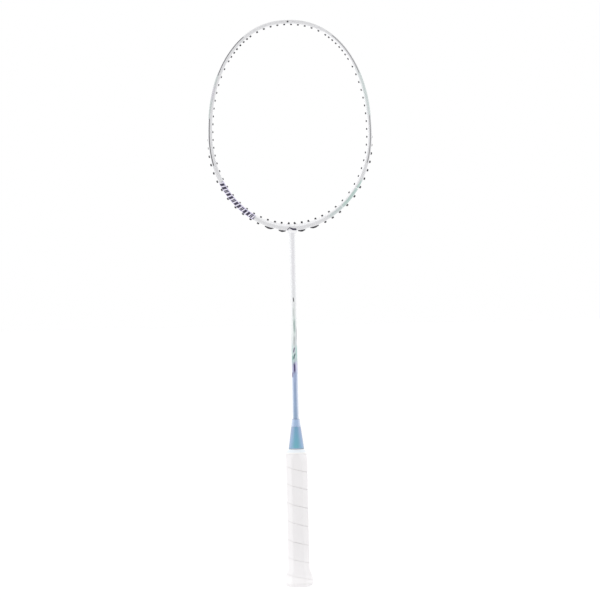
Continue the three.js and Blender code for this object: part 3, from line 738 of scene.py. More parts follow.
# %% Outline of the grip
grip_half_width, grip_half_depth, front_flat = 0.01265, 0.011, 0.0125
grip_top = 0.1593
shoulder_radius, shoulder_slope, shoulder_power = 0.0110, 0.10, 70
shoulder_left, shoulder_right = 0.0023, 0.0007
bevel_distance = (front_flat / 2 + grip_half_depth) / math.sqrt(2)
side_angles = np.radians([0, 90, 180, 270, 45, 135, 225, 315])
side_distances = np.array([grip_half_width, grip_half_depth] * 2 + [bevel_distance] * 4)
corner_power = 26
flare_growth, flare_middle, flare_softness = 0.00425, 0.01497, 0.002313


def shoulder_limit(angle, z):
    """Radius of the cone that cuts the shoulder, plus what it is fuller at the sides."""
    fuller = np.where(np.cos(angle) < 0, shoulder_left, shoulder_right) * np.cos(angle) ** 2
    return shoulder_radius + fuller + shoulder_slope * (grip_top - z)


def grip_radius(angle, z):
    """A rounded octagon: (sum of max(cos(a - side), 0) / distance to the power p) to the
    power -1/p. It grows as a soft step towards the butt, and the shoulder cuts its top."""
    facing = np.clip(np.cos(angle[..., None] - side_angles), 0, None) / side_distances
    full = (facing ** corner_power).sum(axis=-1) ** (-1 / corner_power)
    full = full * (1 + flare_growth / grip_half_width / (1 + np.exp((z - flare_middle) / flare_softness)))
    shoulder = shoulder_limit(angle, z)
    return (full ** -shoulder_power + shoulder ** -shoulder_power) ** (-1 / shoulder_power)


print(f"grip: {2000 * grip_half_width:.1f} mm wide")

# %% [markdown]
# Grip: the wound tape
#
# The grip is one strip of cushioned tape, wound from the butt upwards. Its edges are
# skived thin, so each turn shows a soft step where it meets the next. The section of the
# strip is carried along a helix: around the angle, the outside follows the octagon, and up
# the height each turn runs from its lower to its upper edge. No hand winds evenly, so the
# seams stray a little from the helix. They are pressed flatter near the butt, low on the
# right, on the front left bevel and by the shoulder. Small folds along the edges come from
# the pull of the winding.

# %% Seams
tape_pitch, tape_gap, tape_thickness = 0.0213, 0.00005, 0.0019
tape_bottom, tape_end_width = 0.00452, 0.0006
top_seam_drop = 0.0185
steps_each_turn = 120
wander_heights = np.array([0.013, 0.0343, 0.0556, 0.0769, 0.0982, 0.1195, 0.1408])
wander_offsets = np.array([0.0005, -0.0016, -0.0017, -0.0005, 0, 0.0009, 0])
sway, sway_middle = 0.0006, 0.97
front_corner = math.atan2(grip_half_depth, front_flat / 2)
seam_start = grip_top - top_seam_drop + tape_pitch * (front_corner + math.pi) / (2 * math.pi)


def seam_line(angle):
    """Height of the seam above a turn: a helix, what the hand strays from it, and a sine."""
    helix = seam_start - tape_pitch * angle / (2 * np.pi)
    stray = np.interp(helix, wander_heights, wander_offsets)
    return helix + stray + sway * (np.sin(angle + np.pi / 4) + sway_middle)


def tape_edges(angle):
    """Lower and upper edge of the strip at an angle that keeps growing along the helix."""
    low = np.maximum(seam_line(angle + 2 * np.pi) + tape_gap / 2, tape_bottom)
    high = np.minimum(seam_line(angle) - tape_gap / 2, grip_top)
    return low, high


turns = int((grip_top - tape_bottom) / tape_pitch) + 3
wind = np.linspace(-turns, turns, 2 * turns * steps_each_turn + 1) * 2 * np.pi
edge_low, edge_high = tape_edges(wind)
wind = wind[edge_high - edge_low >= tape_end_width][:, None]
edge_low, edge_high = tape_edges(wind)
print(f"tape: {(wind[-1, 0] - wind[0, 0]) / (2 * np.pi):.1f} turns")

# %% Heights and drops across the strip
low_lip = np.array([0, 0.00015, 0.0004, 0.0008, 0.0013])
high_lip = np.array([0.0019, 0.0013, 0.0008, 0.0004, 0.00012])
low_drop = 0.0005 * (1 - low_lip / low_lip[-1]) ** 2.2
high_drop = 0.00045 * (1 - high_lip / high_lip[0]) ** 1.6
face = np.linspace(0, 1, 13)[1:-1]
full_width, least_scale = 0.0045, 0.05

scale = np.clip((edge_high - edge_low) / full_width, least_scale, 1)
z_low, z_high = edge_low + low_lip * scale, edge_high - high_lip * scale
z_face = z_low[:, -1:] + (z_high[:, :1] - z_low[:, -1:]) * face
tape_z = np.concatenate([z_low, z_face, z_high], axis=1)
around = wind + 0 * tape_z

# How much of its step a seam keeps: less at both ends of the tape and where it is pressed.
keep_low = 0.15 + 0.85 * smooth_step(edge_low, tape_bottom, tape_bottom + 0.002)
keep_high = 1 - 0.8 * smooth_step(edge_high, grip_top - 0.010, grip_top - 0.002)
near_butt = 0.75 * smooth_step(tape_z, 0.052, 0.030)
low_right = 0.6 * smooth_step(np.cos(around), 0.15, 0.50) * smooth_step(tape_z, 0.070, 0.058)
left_bevel = 0.8 * smooth_step(np.cos(around + np.radians(145)), 0.883, 0.940)
by_shoulder = 0.5 * smooth_step(edge_low, 0.118, 0.128)
keep = (1 - by_shoulder) * (1 - np.max([near_butt, low_right, left_bevel], axis=0))
drop = np.concatenate([low_drop * keep_low, 0 * edge_low * face, high_drop * keep_high], axis=1) * keep
print(f"strip: {tape_z.shape[1]} points across its outside")

# %% The wound strip
fold_height, crown_height = 0.00002, 0.00008
mean_radius = 0.0122
inside_steps = np.linspace(1, 0, 7)

from_low, from_high = tape_z - edge_low, edge_high - tape_z
folds = (np.sin(9 * around + 900 * from_low) * np.exp(-from_low / 0.004)
         + np.sin(7 * around - 700 * from_high + 1.3) * np.exp(-from_high / 0.003))
crowned = 4 * from_low * from_high / (edge_high - edge_low) ** 2 - 1
outside = grip_radius(around, tape_z) - drop * scale + fold_height * folds + crown_height * crowned
inside_z = inside_steps * (edge_high - edge_low) + edge_low
inside = grip_radius(wind + 0 * inside_z, inside_z) - tape_thickness
ring_z = np.concatenate([tape_z, inside_z], axis=1)
tape_points = round_points(np.concatenate([outside, inside], axis=1), wind, ring_z)

# Where the shoulder cuts the octagon the tape faces a little upwards, and it is painted lighter there:
# painted light.
limit = shoulder_limit(around, tape_z)
cut_depth = grip_radius(around, tape_z - 0.05) - limit
shoulder_light = smooth_step(limit, 0.0128, 0.0112) * smooth_step(cut_depth, -0.0002, 0.0004)


def outside_values(values):
    """Point values of the strip: those given outside, 0 inside, and the ends closed."""
    return close_ends(np.concatenate([values, 0 * inside_z], axis=1))


tape_values = {
    "shoulder_light": outside_values(shoulder_light), "run": close_ends(mean_radius * (wind + 0 * ring_z)),
    "from_low": outside_values(from_low), "from_high": outside_values(from_high),
}
tape_quads = grid_quads(len(wind) + 2, ring_z.shape[1])
tape = add_mesh("wound_grip", close_ends(tape_points), tape_quads, tape_values)
print(f"grip: {len(tape.data.polygons)} faces")

# %% [markdown]
# Finishing band
#
# A strip of thin film closes the upper end of the tape. It is stuck on last, half on the
# tape's shoulder and half on the foot of the cone, so it is a short cone itself, and its
# two ends overlap in a small step. The step is at the back.

# %% Finishing band
film, film_top_radius = 0.0002, 0.0092
band_low, band_high = grip_top - 0.0009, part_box("finishing_band")[1].z
band_rows = np.array([0, 0.06, 0.2, 0.35, 0.5, 0.65, 0.8, 0.94, 1.0])
behind, lap_start, lap_end = np.pi / 2, 0.05, 2 * np.pi - 0.5

band_angles = full_turn(128) + behind
band_z = (band_low + (band_high - band_low) * band_rows)[:, None]
to_cone = np.clip(2 * smooth_step(band_z, 2 * grip_top - band_high, band_high) - 1, 0, 1)
on_tape = grip_radius(band_angles + 0 * band_z, np.minimum(band_z, grip_top)) + film
lapped = smooth_step(band_angles, behind, behind + lap_start)
lapped = lapped * smooth_step(band_angles, behind + lap_end + 0.06, behind + lap_end)
band_radius = on_tape + (film_top_radius - on_tape) * to_cone + film * lapped
skin = round_points(band_radius, band_angles, band_z)
lining = skin - 0.8 * film * round_points(1.0, band_angles, 0.0)
band_quads = grid_quads(2 * len(band_rows), band_angles.size, rows_close=True)
band = add_mesh("finishing_film", np.concatenate([skin, lining[::-1]]), band_quads)
print(f"band: {1000 * (band_high - band_low):.1f} mm high")

# %% [markdown]
# Butt cap
#
# The cap is a moulded plate on the flared end. Its sides follow the flare of the grip, its
# underside curves in to a flat on which the racket stands, and a raised ring and a shallow
# recess mark the middle. A peg on its upper side holds it in the wooden handle.

# %% Butt cap
cap_height, cap_inset = 0.0045, 0.0001
cap_angles = full_turn(128)
cap_z = cap_height * (1 - np.cos(np.linspace(0, np.pi / 2, 16)[:, None])) ** 1.25
cap_share = 0.45 + 0.55 * (1 - (1 - cap_z / cap_height) ** 2.2) ** (1 / 2.6)
cap_radius = cap_share * (grip_radius(cap_angles, cap_height) - cap_inset)
# (radius, height) of the recess and the ring below, and of the peg above.
underside = np.array([(0, 0.0005), (0.0036, 0.0005), (0.0040, 0.0001), (0.0046, 0), (0.0054, 0), (0.0058, 0)])
peg = np.array([(0.0056, cap_height), (0.0056, 0.0112), (0.0053, 0.0115), (0, 0.0115)])
cap_points = np.concatenate([
    round_points(underside[:, :1], cap_angles, underside[:, 1:]),
    round_points(cap_radius, cap_angles, cap_z),
    round_points(peg[:, :1], cap_angles, peg[:, 1:]),
])
cap = add_mesh("butt_plate", cap_points, grid_quads(*cap_points.shape[:2]))
print(f"cap: {2000 * cap_radius.max():.1f} mm wide")

# %% [markdown]
# Shader helpers
#
# Every finish below is a graph of nodes. A field is what one node gives: a number, colour
# or vector that changes over the surface. Adding or multiplying fields adds the math nodes
# for it, so that a finish can be written as a formula. Colours are written as they look on
# a screen, from 0 to 255, and turned into light values here.

# %% Helpers for nodes
def paint(red, green, blue):
    """Light values of a screen colour: ((c + 0.055) / 1.055) ^ 2.4 above the toe."""
    c = np.array([red, green, blue]) / 255
    light = np.where(c > 0.04045, ((c + 0.055) / 1.055) ** 2.4, c / 12.92)
    return (*light.tolist(), 1.0)


def feed(socket, value):
    """Links a field to a socket, or sets the socket to a plain value."""
    if isinstance(value, Field):
        socket.id_data.links.new(value.socket, socket)
    else:
        socket.default_value = value


def add_node(tree, kind, inputs=(), **settings):
    """A new node with its settings made and its inputs fed."""
    made = tree.nodes.new(kind)
    for key, value in settings.items():
        setattr(made, key, value)
    for key, value in dict(inputs).items():
        feed(made.inputs[key], value)
    return made


print("node helpers ready")


# %% Fields
class Field:
    """What one output of a node gives over the surface."""

    def __init__(self, socket):
        self.socket = socket

    def new(self, kind, inputs=(), output=0, **settings):
        """The output of a new node beside this one."""
        return Field(add_node(self.socket.id_data, kind, inputs, **settings).outputs[output])

    def math(self, operation, *values, **settings):
        """A math node that starts from this field."""
        return self.new("ShaderNodeMath", enumerate((self, *values)), operation=operation, **settings)

    def __add__(self, other):
        """This field plus a field or a number."""
        return self.math("ADD", other)

    def __sub__(self, other):
        """This field less a field or a number."""
        return self.math("SUBTRACT", other)

    def __rsub__(self, number):
        """A number less this field."""
        return self.new("ShaderNodeMath", {0: number, 1: self}, operation="SUBTRACT")

    def __mul__(self, other):
        """This field times a field or a number."""
        return self.math("MULTIPLY", other)

    def __abs__(self):
        """This field without its sign."""
        return self.math("ABSOLUTE")

    def larger(self, other):
        """The larger of two fields at each point."""
        return self.math("MAXIMUM", other)

    def smaller(self, other):
        """The smaller of two fields at each point."""
        return self.math("MINIMUM", other)

    def step(self, start, end, at_start=0.0, at_end=1.0):
        """Smooth change from at_start, where this field is start, to at_end."""
        numbers = enumerate((self, start, end, at_start, at_end))
        return self.new("ShaderNodeMapRange", numbers, interpolation_type="SMOOTHSTEP")

    def between(self, low, high, edge):
        """Mask of the stretch of this field from low to high, with soft edges."""
        return use(self.socket.id_data, stretch, Value=self, From=low, To=high, Edge=edge)["Mask"]

    def mix(self, first, second):
        """First colour where this mask is 0 and second where it is 1. On the node, input 0
        is the mask, and inputs 6 and 7 and output 2 are the colours."""
        return self.new("ShaderNodeMix", {0: self, 6: first, 7: second}, 2, data_type="RGBA")

    def ramp(self, stops):
        """Colour that runs straight from stop to stop: each is (value, screen colour)."""
        made = paint(*stops[0][1])
        for (low, _), (high, colour) in zip(stops, stops[1:]):
            made = self.new("ShaderNodeMapRange", {0: self, 1: low, 2: high}).mix(made, paint(*colour))
        return made

    def shade(self, shift):
        """This colour times one plus shift."""
        level = shift + 1.0
        grey = self.new("ShaderNodeCombineColor", {"Red": level, "Green": level, "Blue": level})
        inputs = {0: 1.0, 6: self, 7: grey}
        return self.new("ShaderNodeMix", inputs, 2, data_type="RGBA", blend_type="MULTIPLY")

    def parts(self):
        """The x, y and z of a vector."""
        made = add_node(self.socket.id_data, "ShaderNodeSeparateXYZ", {"Vector": self})
        return [Field(output) for output in made.outputs]

    def scaled(self, *scale):
        """A vector times a scale on each axis."""
        return self.new("ShaderNodeMapping", {"Vector": self, "Scale": scale})

    def noise(self, scale, detail=2.0, roughness=0.5):
        """Soft noise read at this vector."""
        inputs = {"Vector": self, "Scale": scale, "Detail": detail, "Roughness": roughness}
        return self.new("ShaderNodeTexNoise", inputs, "Fac")

    def cells(self, scale, output, randomness=1.0):
        """Voronoi cells read at this vector: their distance or their colour."""
        inputs = {"Vector": self, "Scale": scale, "Randomness": randomness}
        return self.new("ShaderNodeTexVoronoi", inputs, output)

    def bump(self, strength, distance):
        """Normal of a surface that has this height."""
        inputs = {"Height": self, "Strength": strength, "Distance": distance}
        return self.new("ShaderNodeBump", inputs, "Normal")


print("fields ready")

# %% Helpers for groups and materials
FINISH = {"Colour": "Color", "Roughness": "Float", "Normal": "Vector"}


def new_group(name, inputs, outputs):
    """An empty node group with the named sockets: its tree, what comes in, what goes out."""
    tree = bpy.data.node_groups.new(name, "ShaderNodeTree")
    for key, default in inputs.items():
        kind = "NodeSocketFloat" if isinstance(default, float) else "NodeSocketColor"
        tree.interface.new_socket(key, in_out="INPUT", socket_type=kind).default_value = default
    for key, kind in outputs.items():
        tree.interface.new_socket(key, in_out="OUTPUT", socket_type=f"NodeSocket{kind}")
    entry = {output.name: Field(output) for output in add_node(tree, "NodeGroupInput").outputs}
    return tree, entry, add_node(tree, "NodeGroupOutput").inputs


def use(tree, group, **inputs):
    """Places a node group with its own values, and gives what comes out of it."""
    made = add_node(tree, "ShaderNodeGroup", inputs, node_tree=group)
    return {output.name: Field(output) for output in made.outputs}


def object_place(tree):
    """The point of the surface in the racket's own metres."""
    return Field(add_node(tree, "ShaderNodeTexCoord").outputs["Object"])


def carried(tree, *names):
    """Point values that the mesh carries, one field for each name."""
    made = [add_node(tree, "ShaderNodeAttribute", attribute_name=name) for name in names]
    return [Field(node.outputs["Fac"]) for node in made]


def round_place(tree):
    """On a part turned about the axis: the place, the height, and the angle from the front."""
    place = object_place(tree)
    x, y, z = place.parts()
    return place, z, x.math("ARCTAN2", y * -1.0)


def sideways(angle, turned_by=0.0):
    """How far a round surface faces to a side: |sin(angle + turned_by)|."""
    return abs((angle + turned_by).math("SINE"))


def new_material(name, **fixed):
    """A Principled material whose evenly held values are set on its own sockets, its tree
    and the inputs of its shader."""
    material = bpy.data.materials.new(name)
    material.use_nodes = True
    shader = material.node_tree.nodes["Principled BSDF"].inputs
    for key, value in fixed.items():
        shader[key.replace("_", " ")].default_value = value
    return material, material.node_tree, shader


def dress(shader, group, **inputs):
    """Feeds a finish group's colour, roughness and normal to a shader."""
    finish = use(shader["Base Color"].id_data, group, **inputs)
    feed(shader["Base Color"], finish["Colour"])
    feed(shader["Roughness"], finish["Roughness"])
    feed(shader["Normal"], finish["Normal"])


print("material helpers ready")

# %% [markdown]
# A band with soft edges
#
# Trim is masked with tape before it is sprayed, so most of it is a band from one place to
# another with edges that are a little soft. The first group is that mask: it rises round
# the lower end of the band and falls round its upper end.

# %% Group: stretch of a band
stretch, entry, leave = new_group(
    "stretch", {"Value": 0.0, "From": 0.0, "To": 1.0, "Edge": 0.01}, {"Mask": "Float"})
value, edge = entry["Value"], entry["Edge"]
rising = value.step(entry["From"] - edge, entry["From"] + edge)
falling = value.step(entry["To"] - edge, entry["To"] + edge, 1.0, 0.0)
feed(leave["Mask"], rising * falling)
print("group stretch ready")

# %% [markdown]
# Lacquer
#
# Pearl lacquer is a colour coat full of tiny mica plates under a clear coat. The plates
# make the colour drift a little and sparkle, the clear coat has a faint orange peel, and
# handling leaves hairline scuffs that only the gloss shows. The group below adds all of
# that to any colour, so the hoop, the shaft and the cone share one finish.

# %% Group: pearl lacquer
lacquer, entry, leave = new_group("pearl_lacquer", {
    "Colour": (0.8, 0.8, 0.8, 1), "Pearl": 0.5, "Peel": 0.5, "Scuffs": 0.5, "Gloss": 0.25}, FINISH)
place = object_place(lacquer)
drift = place.noise(55.0, 3.0)
flakes = place.cells(5200.0, "Color")
shift = ((drift - 0.5) * 0.09 + (flakes - 0.5) * 0.05) * entry["Pearl"]
feed(leave["Colour"], entry["Colour"].shade(shift))
hairs = place.scaled(900.0, 900.0, 90.0).noise(1.0, 4.0, 0.7).step(0.56, 0.72)
worn = entry["Gloss"] + hairs * (entry["Scuffs"] * 0.14)
patches = drift.step(0.35, 0.7) * 0.05
feed(leave["Roughness"], worn.math("ADD", patches, use_clamp=True))
peel = place.noise(420.0, 1.0)
feed(leave["Normal"], peel.bump(entry["Peel"] * 0.12, 0.0002))
print("group pearl_lacquer ready")

# %% [markdown]
# Hoop: paint
#
# The hoop is pearl white, with a cool grey heart along its faces, partly grey paint and
# partly painted shade for the duller middle of each face. Thin grey lines run along the
# outer half of the face at the shoulders and the flanks. Mint runs between them, with a
# faint wash inside it on the right. Lower down the right side is mint that turns greyer
# towards the throat, and the lower left carries a row of dark violet dashes on lavender, a
# plain pattern of bars and slants. A dark brush stroke crosses the hoop over the shaft.
# Distance along the wall and place across the face, which the mesh carries, say where each
# of these lies. The design is the same seen from the back, as on any racket that can be
# turned over.

# %% Hoop material: ground, mint and lines
pearl_white, heart_grey_and_shade = paint(244, 244, 246), paint(218, 218, 220)
line_grey, line_dark = paint(136, 136, 139), paint(74, 74, 78)
mint, cool_mint = paint(203, 212, 211), paint(190, 197, 196)
deep_mint, low_grey_mint = paint(180, 201, 196), paint(197, 205, 205)
lavender, pale_lavender, cool_lilac = paint(206, 197, 232), paint(232, 229, 241), paint(202, 200, 206)
dark_violet = paint(34, 26, 60)

hoop_paint, tree, shader = new_material(
    "hoop_pearl_white", Coat_Weight=0.6, Coat_Roughness=0.12, Specular_IOR_Level=0.4)
along, across = carried(tree, "along", "across")
x, y, z = object_place(tree).parts()
rightwards = x * (y.math("SIGN") * -1.0)
right = rightwards.step(-0.0005, 0.0005)
left = 1.0 - right
on_face = abs(y).step(0.0026, 0.0036)

# Painted shade, in part: the grey heart along each face is grey paint that also stands in for the duller
# middle of a face that looks to the front or the back.
heart_start = right.step(0.0, 1.0, 0.02, 0.30).larger(along.step(0.82, 0.90, 0.0, 0.38))
heart_start = heart_start.smaller(along.step(0.10, 0.20, 0.04, 1.0))
heart_end = along.step(0.82, 0.90, 0.90, 1.02).larger(along.step(0.20, 0.10, 0.90, 0.98))
heart = across.between(heart_start, heart_end, 0.12)
colour = (heart * on_face).mix(pearl_white, heart_grey_and_shade)

# Mint between the grey lines: it widens from both ends towards the middle.
mint_start = abs(along - 0.39).step(0.0, 0.075, 0.34, 0.60)
mint_band = along.between(0.318, 0.474, 0.004) * across.between(mint_start, 0.94, 0.06) * on_face
wash = right * along.between(0.300, 0.474, 0.020) * across.between(0.06, 0.90, 0.12) * 0.4 * on_face
colour = wash.mix(colour, mint)
left_mint = along.between(0.36, 0.41, 0.02).mix(cool_mint, cool_lilac)
colour = mint_band.mix(colour, right.mix(left_mint, mint))

# Grey lines: the upper one on the left runs a little further out than the others.
upper_line = along.between(0.162, 0.322, 0.003)
lower_line = along.between(0.474, 0.639, 0.003)
line_start = left * upper_line * 0.04 + 0.57
lines = upper_line.larger(lower_line) * across.between(line_start, line_start + 0.18, 0.03) * on_face
colour = lines.mix(colour, right.mix(line_dark, line_grey))
print("hoop ground, mint and lines laid")

# %% Hoop material: lower half
low_face = across.between(along.step(0.70, 0.76, 0.62, 0.40), 0.93, 0.08)
low_band = right * along.between(0.700, 0.868, 0.010) * low_face * on_face
breaks = along.between(0.731, 0.7335, 0.0008).larger(along.between(0.8115, 0.813, 0.0008))
low_mint = along.step(0.83, 0.79).mix(low_grey_mint, deep_mint)
colour = low_band.mix(colour, breaks.mix(low_mint, pearl_white))

# Dashes on the lower left: bars that lean, on a lavender ground. Every third is split.
dash_count, dash_start, dash_length, dash_lean = 12, 0.704, 0.160, 0.5
ground = left * along.between(0.700, 0.868, 0.004) * on_face
ground_rim = 1.0 - across.between(0.26, 0.80, 0.08)
ground_colour = ground_rim.mix(pale_lavender, lavender)
colour = (ground * across.between(0.08, 0.98, 0.06)).mix(colour, ground_colour)
leaning = (along - dash_start) * (dash_count / dash_length) + (across - 0.5) * dash_lean
cell = leaning.math("FRACT")
third = leaning.math("FLOOR").math("DIVIDE", 3.0).math("FRACT").step(0.5, 0.55)
split = third * cell.between(0.38, 0.46, 0.02)
bar = cell.between(0.10, 0.76, 0.03) * across.between(0.18, 0.92, 0.03)
colour = (ground * bar * (1.0 - split)).mix(colour, dark_violet)

# The brush stroke over the shaft, in millimetres: thin on the left, where it arches, and
# thick on the right.
stroke_top, stroke_bend, stroke_drop = 427.1, -2.8, 1.9
throat_x, throat_z = rightwards * 1000.0, z * 1000.0
from_bend = throat_x - stroke_bend
stroke_fall = (from_bend * -0.9).larger(from_bend * 0.45).smaller(stroke_drop)
off_stroke = abs(throat_z - (stroke_top - stroke_fall))
half_stroke = throat_x.step(-2.5, 1.0, 0.70, 1.2) * throat_x.step(6.2, 4.4, 0.3, 1.0)
throat_stroke = (half_stroke - off_stroke).step(-0.2, 0.2) * throat_x.between(-5.6, 5.7, 0.4)
throat_stroke = throat_stroke * abs(y).step(0.0012, 0.0022) * throat_x.step(-5.6, -1.0, 0.85, 1.0)
colour = throat_stroke.mix(colour, dark_violet)

# Faint strokes on both sides of the plug.
plug_strokes = along.between(0.014, 0.028, 0.002) * across.between(0.42, 0.60, 0.04) * on_face
colour = (plug_strokes * 0.2).mix(colour, line_grey)
dress(shader, lacquer, Colour=colour, Pearl=0.8, Peel=0.6, Scuffs=0.5, Gloss=0.26)
seat(hoop, hoop_paint, "frame_paint", "head_frame")
print("hoop painted")

# %% [markdown]
# Shaft, cone and collar: paint
#
# The shaft fades from pearl white under the hoop through grey green to periwinkle over the
# cone. Its sides are painted paler: partly white paint, and partly a painted sheen for the
# light pearl catches where the surface turns away. Where the two colours meet, a dozen
# short mint and violet strokes lie along it. A table says where each begins and ends, how
# wide it is and its colour. A stroke is drawn by the cosine of twice the angle from its
# line, so that it shows in front and behind. The cone is teal in front and behind and turns
# periwinkle towards its sides, a painted pearl sheen, and it is painted greyer at the very
# edge as painted shade. It has a pale rim at its foot. The collar is a paler periwinkle,
# painted paler still towards its sides as a painted sheen.

# %% Shaft material
shaft_fade = [
    (204, (134, 159, 191)), (244, (143, 162, 196)), (250, (154, 169, 203)), (258, (188, 188, 218)),
    (263, (188, 190, 212)), (267, (174, 193, 198)), (273, (192, 210, 210)), (284, (196, 212, 212)),
    (290, (216, 222, 224)), (303, (220, 228, 226)), (318, (222, 230, 228)), (332, (224, 227, 227)),
    (350, (224, 225, 227)), (372, (227, 226, 230)), (428, (226, 226, 229)),
]
# Height in millimetres and angle of the low end, the same of the high end, half the width
# and the colour.
shaft_strokes = [
    (248, -0.95, 256, -0.75, 0.30, (112, 104, 148)), (240, 0.10, 258, 0.10, 0.55, (152, 168, 202)),
    (252, -0.20, 269, 0.06, 0.34, (60, 50, 108)), (258, 0.75, 270, 0.60, 0.25, (206, 202, 232)),
    (268, -0.85, 276, -0.60, 0.30, (140, 180, 172)), (269, -0.40, 279, 0.26, 0.24, (78, 112, 114)),
    (270, 0.80, 288, 0.62, 0.20, (168, 206, 202)), (277, -0.50, 286, 0.14, 0.22, (112, 108, 130)),
    (284, 0.05, 301, 0.12, 0.36, (184, 192, 192)), (290, 1.02, 312, 1.02, 0.14, (146, 146, 154)),
    (298, 0.12, 322, 0.12, 0.34, (168, 184, 181)), (318, 0.05, 334, 0.05, 0.34, (202, 208, 207)),
    (337.9, 0.03, 345, 0.03, 0.17, (66, 66, 70)),
]
shaft_paint, tree, shader = new_material(
    "shaft_pearl_fade", Coat_Weight=0.7, Coat_Roughness=0.1, Specular_IOR_Level=0.45, Sheen_Weight=0.5,
    Sheen_Roughness=0.3)
place, height, angle = round_place(tree)
height = height * 1000.0
colour = height.ramp(shaft_fade)
# Painted sheen, in part: from the middle of the shaft up, the sides are painted near white, partly white
# paint and partly the light pearl catches where it turns away.
white_side_and_sheen = sideways(angle, -0.2).step(0.25, 0.80) * height.step(285.0, 312.0) * 0.9
colour = white_side_and_sheen.mix(colour, paint(240, 241, 243))
# Painted sheen: lower down, the sides are painted a paler periwinkle for the light pearl catches where it
# turns away.
painted_sheen_side = sideways(angle, 0.1).step(0.25, 0.85) * height.step(262.0, 250.0)
colour = (painted_sheen_side * height.step(200.0, 230.0, 0.55, 0.75)).mix(colour, paint(222, 231, 245))
unsteady = angle + (place.noise(110.0, 2.0) - 0.5) * 0.5
for low_z, low_angle, high_z, high_angle, half_width, stroke_colour in shaft_strokes:
    slant = (high_angle - low_angle) / (high_z - low_z)
    off_line = unsteady - height.math("MULTIPLY_ADD", slant, low_angle - slant * low_z)
    beside = (off_line * 2.0).math("COSINE").step(math.cos(2.5 * half_width), math.cos(1.4 * half_width))
    fading = 0.17 * (high_z - low_z)
    stroke = beside * height.between(low_z + fading, high_z - fading, fading)
    colour = stroke.mix(colour, paint(*stroke_colour))
dress(shader, lacquer, Colour=colour, Pearl=1.0, Peel=0.5, Scuffs=0.6, Gloss=0.24)
seat(shaft, shaft_paint, "shaft_paint", "shaft")
print(f"shaft painted with {len(shaft_strokes)} strokes")

# %% Cone and collar materials
cone_paint, tree, shader = new_material(
    "cone_teal_pearl", Coat_Weight=0.6, Coat_Roughness=0.15, Specular_IOR_Level=0.45, Sheen_Weight=0.1)
_, height, angle = round_place(tree)
upwards, to_side = height.step(cone_low, collar_low), sideways(angle)
teal = upwards.mix(paint(99, 170, 188), paint(108, 159, 190))
periwinkle = upwards.mix(paint(142, 173, 208), paint(154, 174, 210))
# Painted sheen: towards its sides the cone turns from teal to a lighter periwinkle, painted for the pearl's
# shift of colour where the surface turns away.
colour = to_side.step(0.10, 0.90).mix(teal, periwinkle)
# Painted shade: the very edge at the sides is painted greyer.
colour = to_side.step(0.86, 1.0, 0.0, 0.7).mix(colour, paint(128, 138, 160))
colour = height.step(cone_low + 0.0016, cone_low + 0.0009).mix(colour, paint(150, 178, 204))
dress(shader, lacquer, Colour=colour, Pearl=1.2, Peel=0.5, Scuffs=0.8, Gloss=0.3)
seat(cone, cone_paint, "cone_paint", "cone")

collar_paint, tree, shader = new_material(
    "collar_periwinkle", Coat_Weight=0.6, Coat_Roughness=0.15, Specular_IOR_Level=0.45, Sheen_Weight=0.2)
_, height, angle = round_place(tree)
# Painted sheen: the collar is painted paler towards its sides, for the light pearl catches where it turns
# away.
colour = sideways(angle).step(0.25, 0.9).mix(paint(154, 180, 214), paint(192, 207, 232))
lip = height.step(collar_top - 0.0005, collar_top - 0.0001)
colour = lip.mix(colour, paint(120, 128, 150))
dress(shader, lacquer, Colour=colour, Pearl=0.9, Peel=0.4, Scuffs=0.7, Gloss=0.28)
seat(collar, collar_paint, "collar_paint", "cone_collar")
print("cone and collar painted")

# %% [markdown]
# Plastic, rubber and film
#
# Moulded nylon is never one even black. It has a fine spark-eroded grain, patches where
# the mould was polished more, and a slight cloud in its colour. The group below gives
# these to the grommets, the plug, the butt plate and the film, each with its own values.
# A second group lays on what hands leave, soft warm smudges.

# %% Groups: moulded plastic and handling
plastic, entry, leave = new_group("moulded_plastic", {
    "Colour": (0.5, 0.5, 0.5, 1), "Cloud": 0.1, "Grain": 0.3, "Gloss": 0.5}, FINISH)
place = object_place(plastic)
cloud = place.noise(700.0, 3.0) - 0.5
feed(leave["Colour"], entry["Colour"].shade(cloud * entry["Cloud"]))
polished = place.noise(240.0, 2.0) * 0.2
feed(leave["Roughness"], (entry["Gloss"] - 0.1).math("ADD", polished, use_clamp=True))
feed(leave["Normal"], place.noise(6500.0, 2.0).bump(entry["Grain"], 0.00004))

handling, entry, leave = new_group(
    "handling", {"Colour": (0.8, 0.8, 0.8, 1), "Amount": 0.5}, {"Colour": "Color"})
smudge = object_place(handling).noise(34.0, 4.0, 0.6).step(0.48, 0.72)
feed(leave["Colour"], (smudge * entry["Amount"] * 0.10).mix(entry["Colour"], paint(205, 196, 190)))
print("groups moulded_plastic and handling ready")

# %% Plastic parts
grommet_black, tree, shader = new_material("grommet_black_nylon", Specular_IOR_Level=0.4)
dress(shader, plastic, Colour=paint(62, 62, 66), Cloud=0.5, Grain=0.4, Gloss=0.5)
for piece, node in grommets:
    seat(piece, grommet_black, "grommet_plastic", node)

plug_rubber, tree, shader = new_material("plug_black_rubber", Specular_IOR_Level=0.3)
dress(shader, plastic, Colour=paint(80, 80, 82), Cloud=0.4, Grain=0.6, Gloss=0.7)
seat(plug, plug_rubber, "plug_rubber", "crown_plug")

plate_white, tree, shader = new_material("butt_plate_white", Specular_IOR_Level=0.4)
marked = use(tree, handling, Colour=paint(243, 241, 242), Amount=0.6)["Colour"]
dress(shader, plastic, Colour=marked, Cloud=0.04, Grain=0.4, Gloss=0.5)
seat(cap, plate_white, "cap_plastic", "butt_cap")

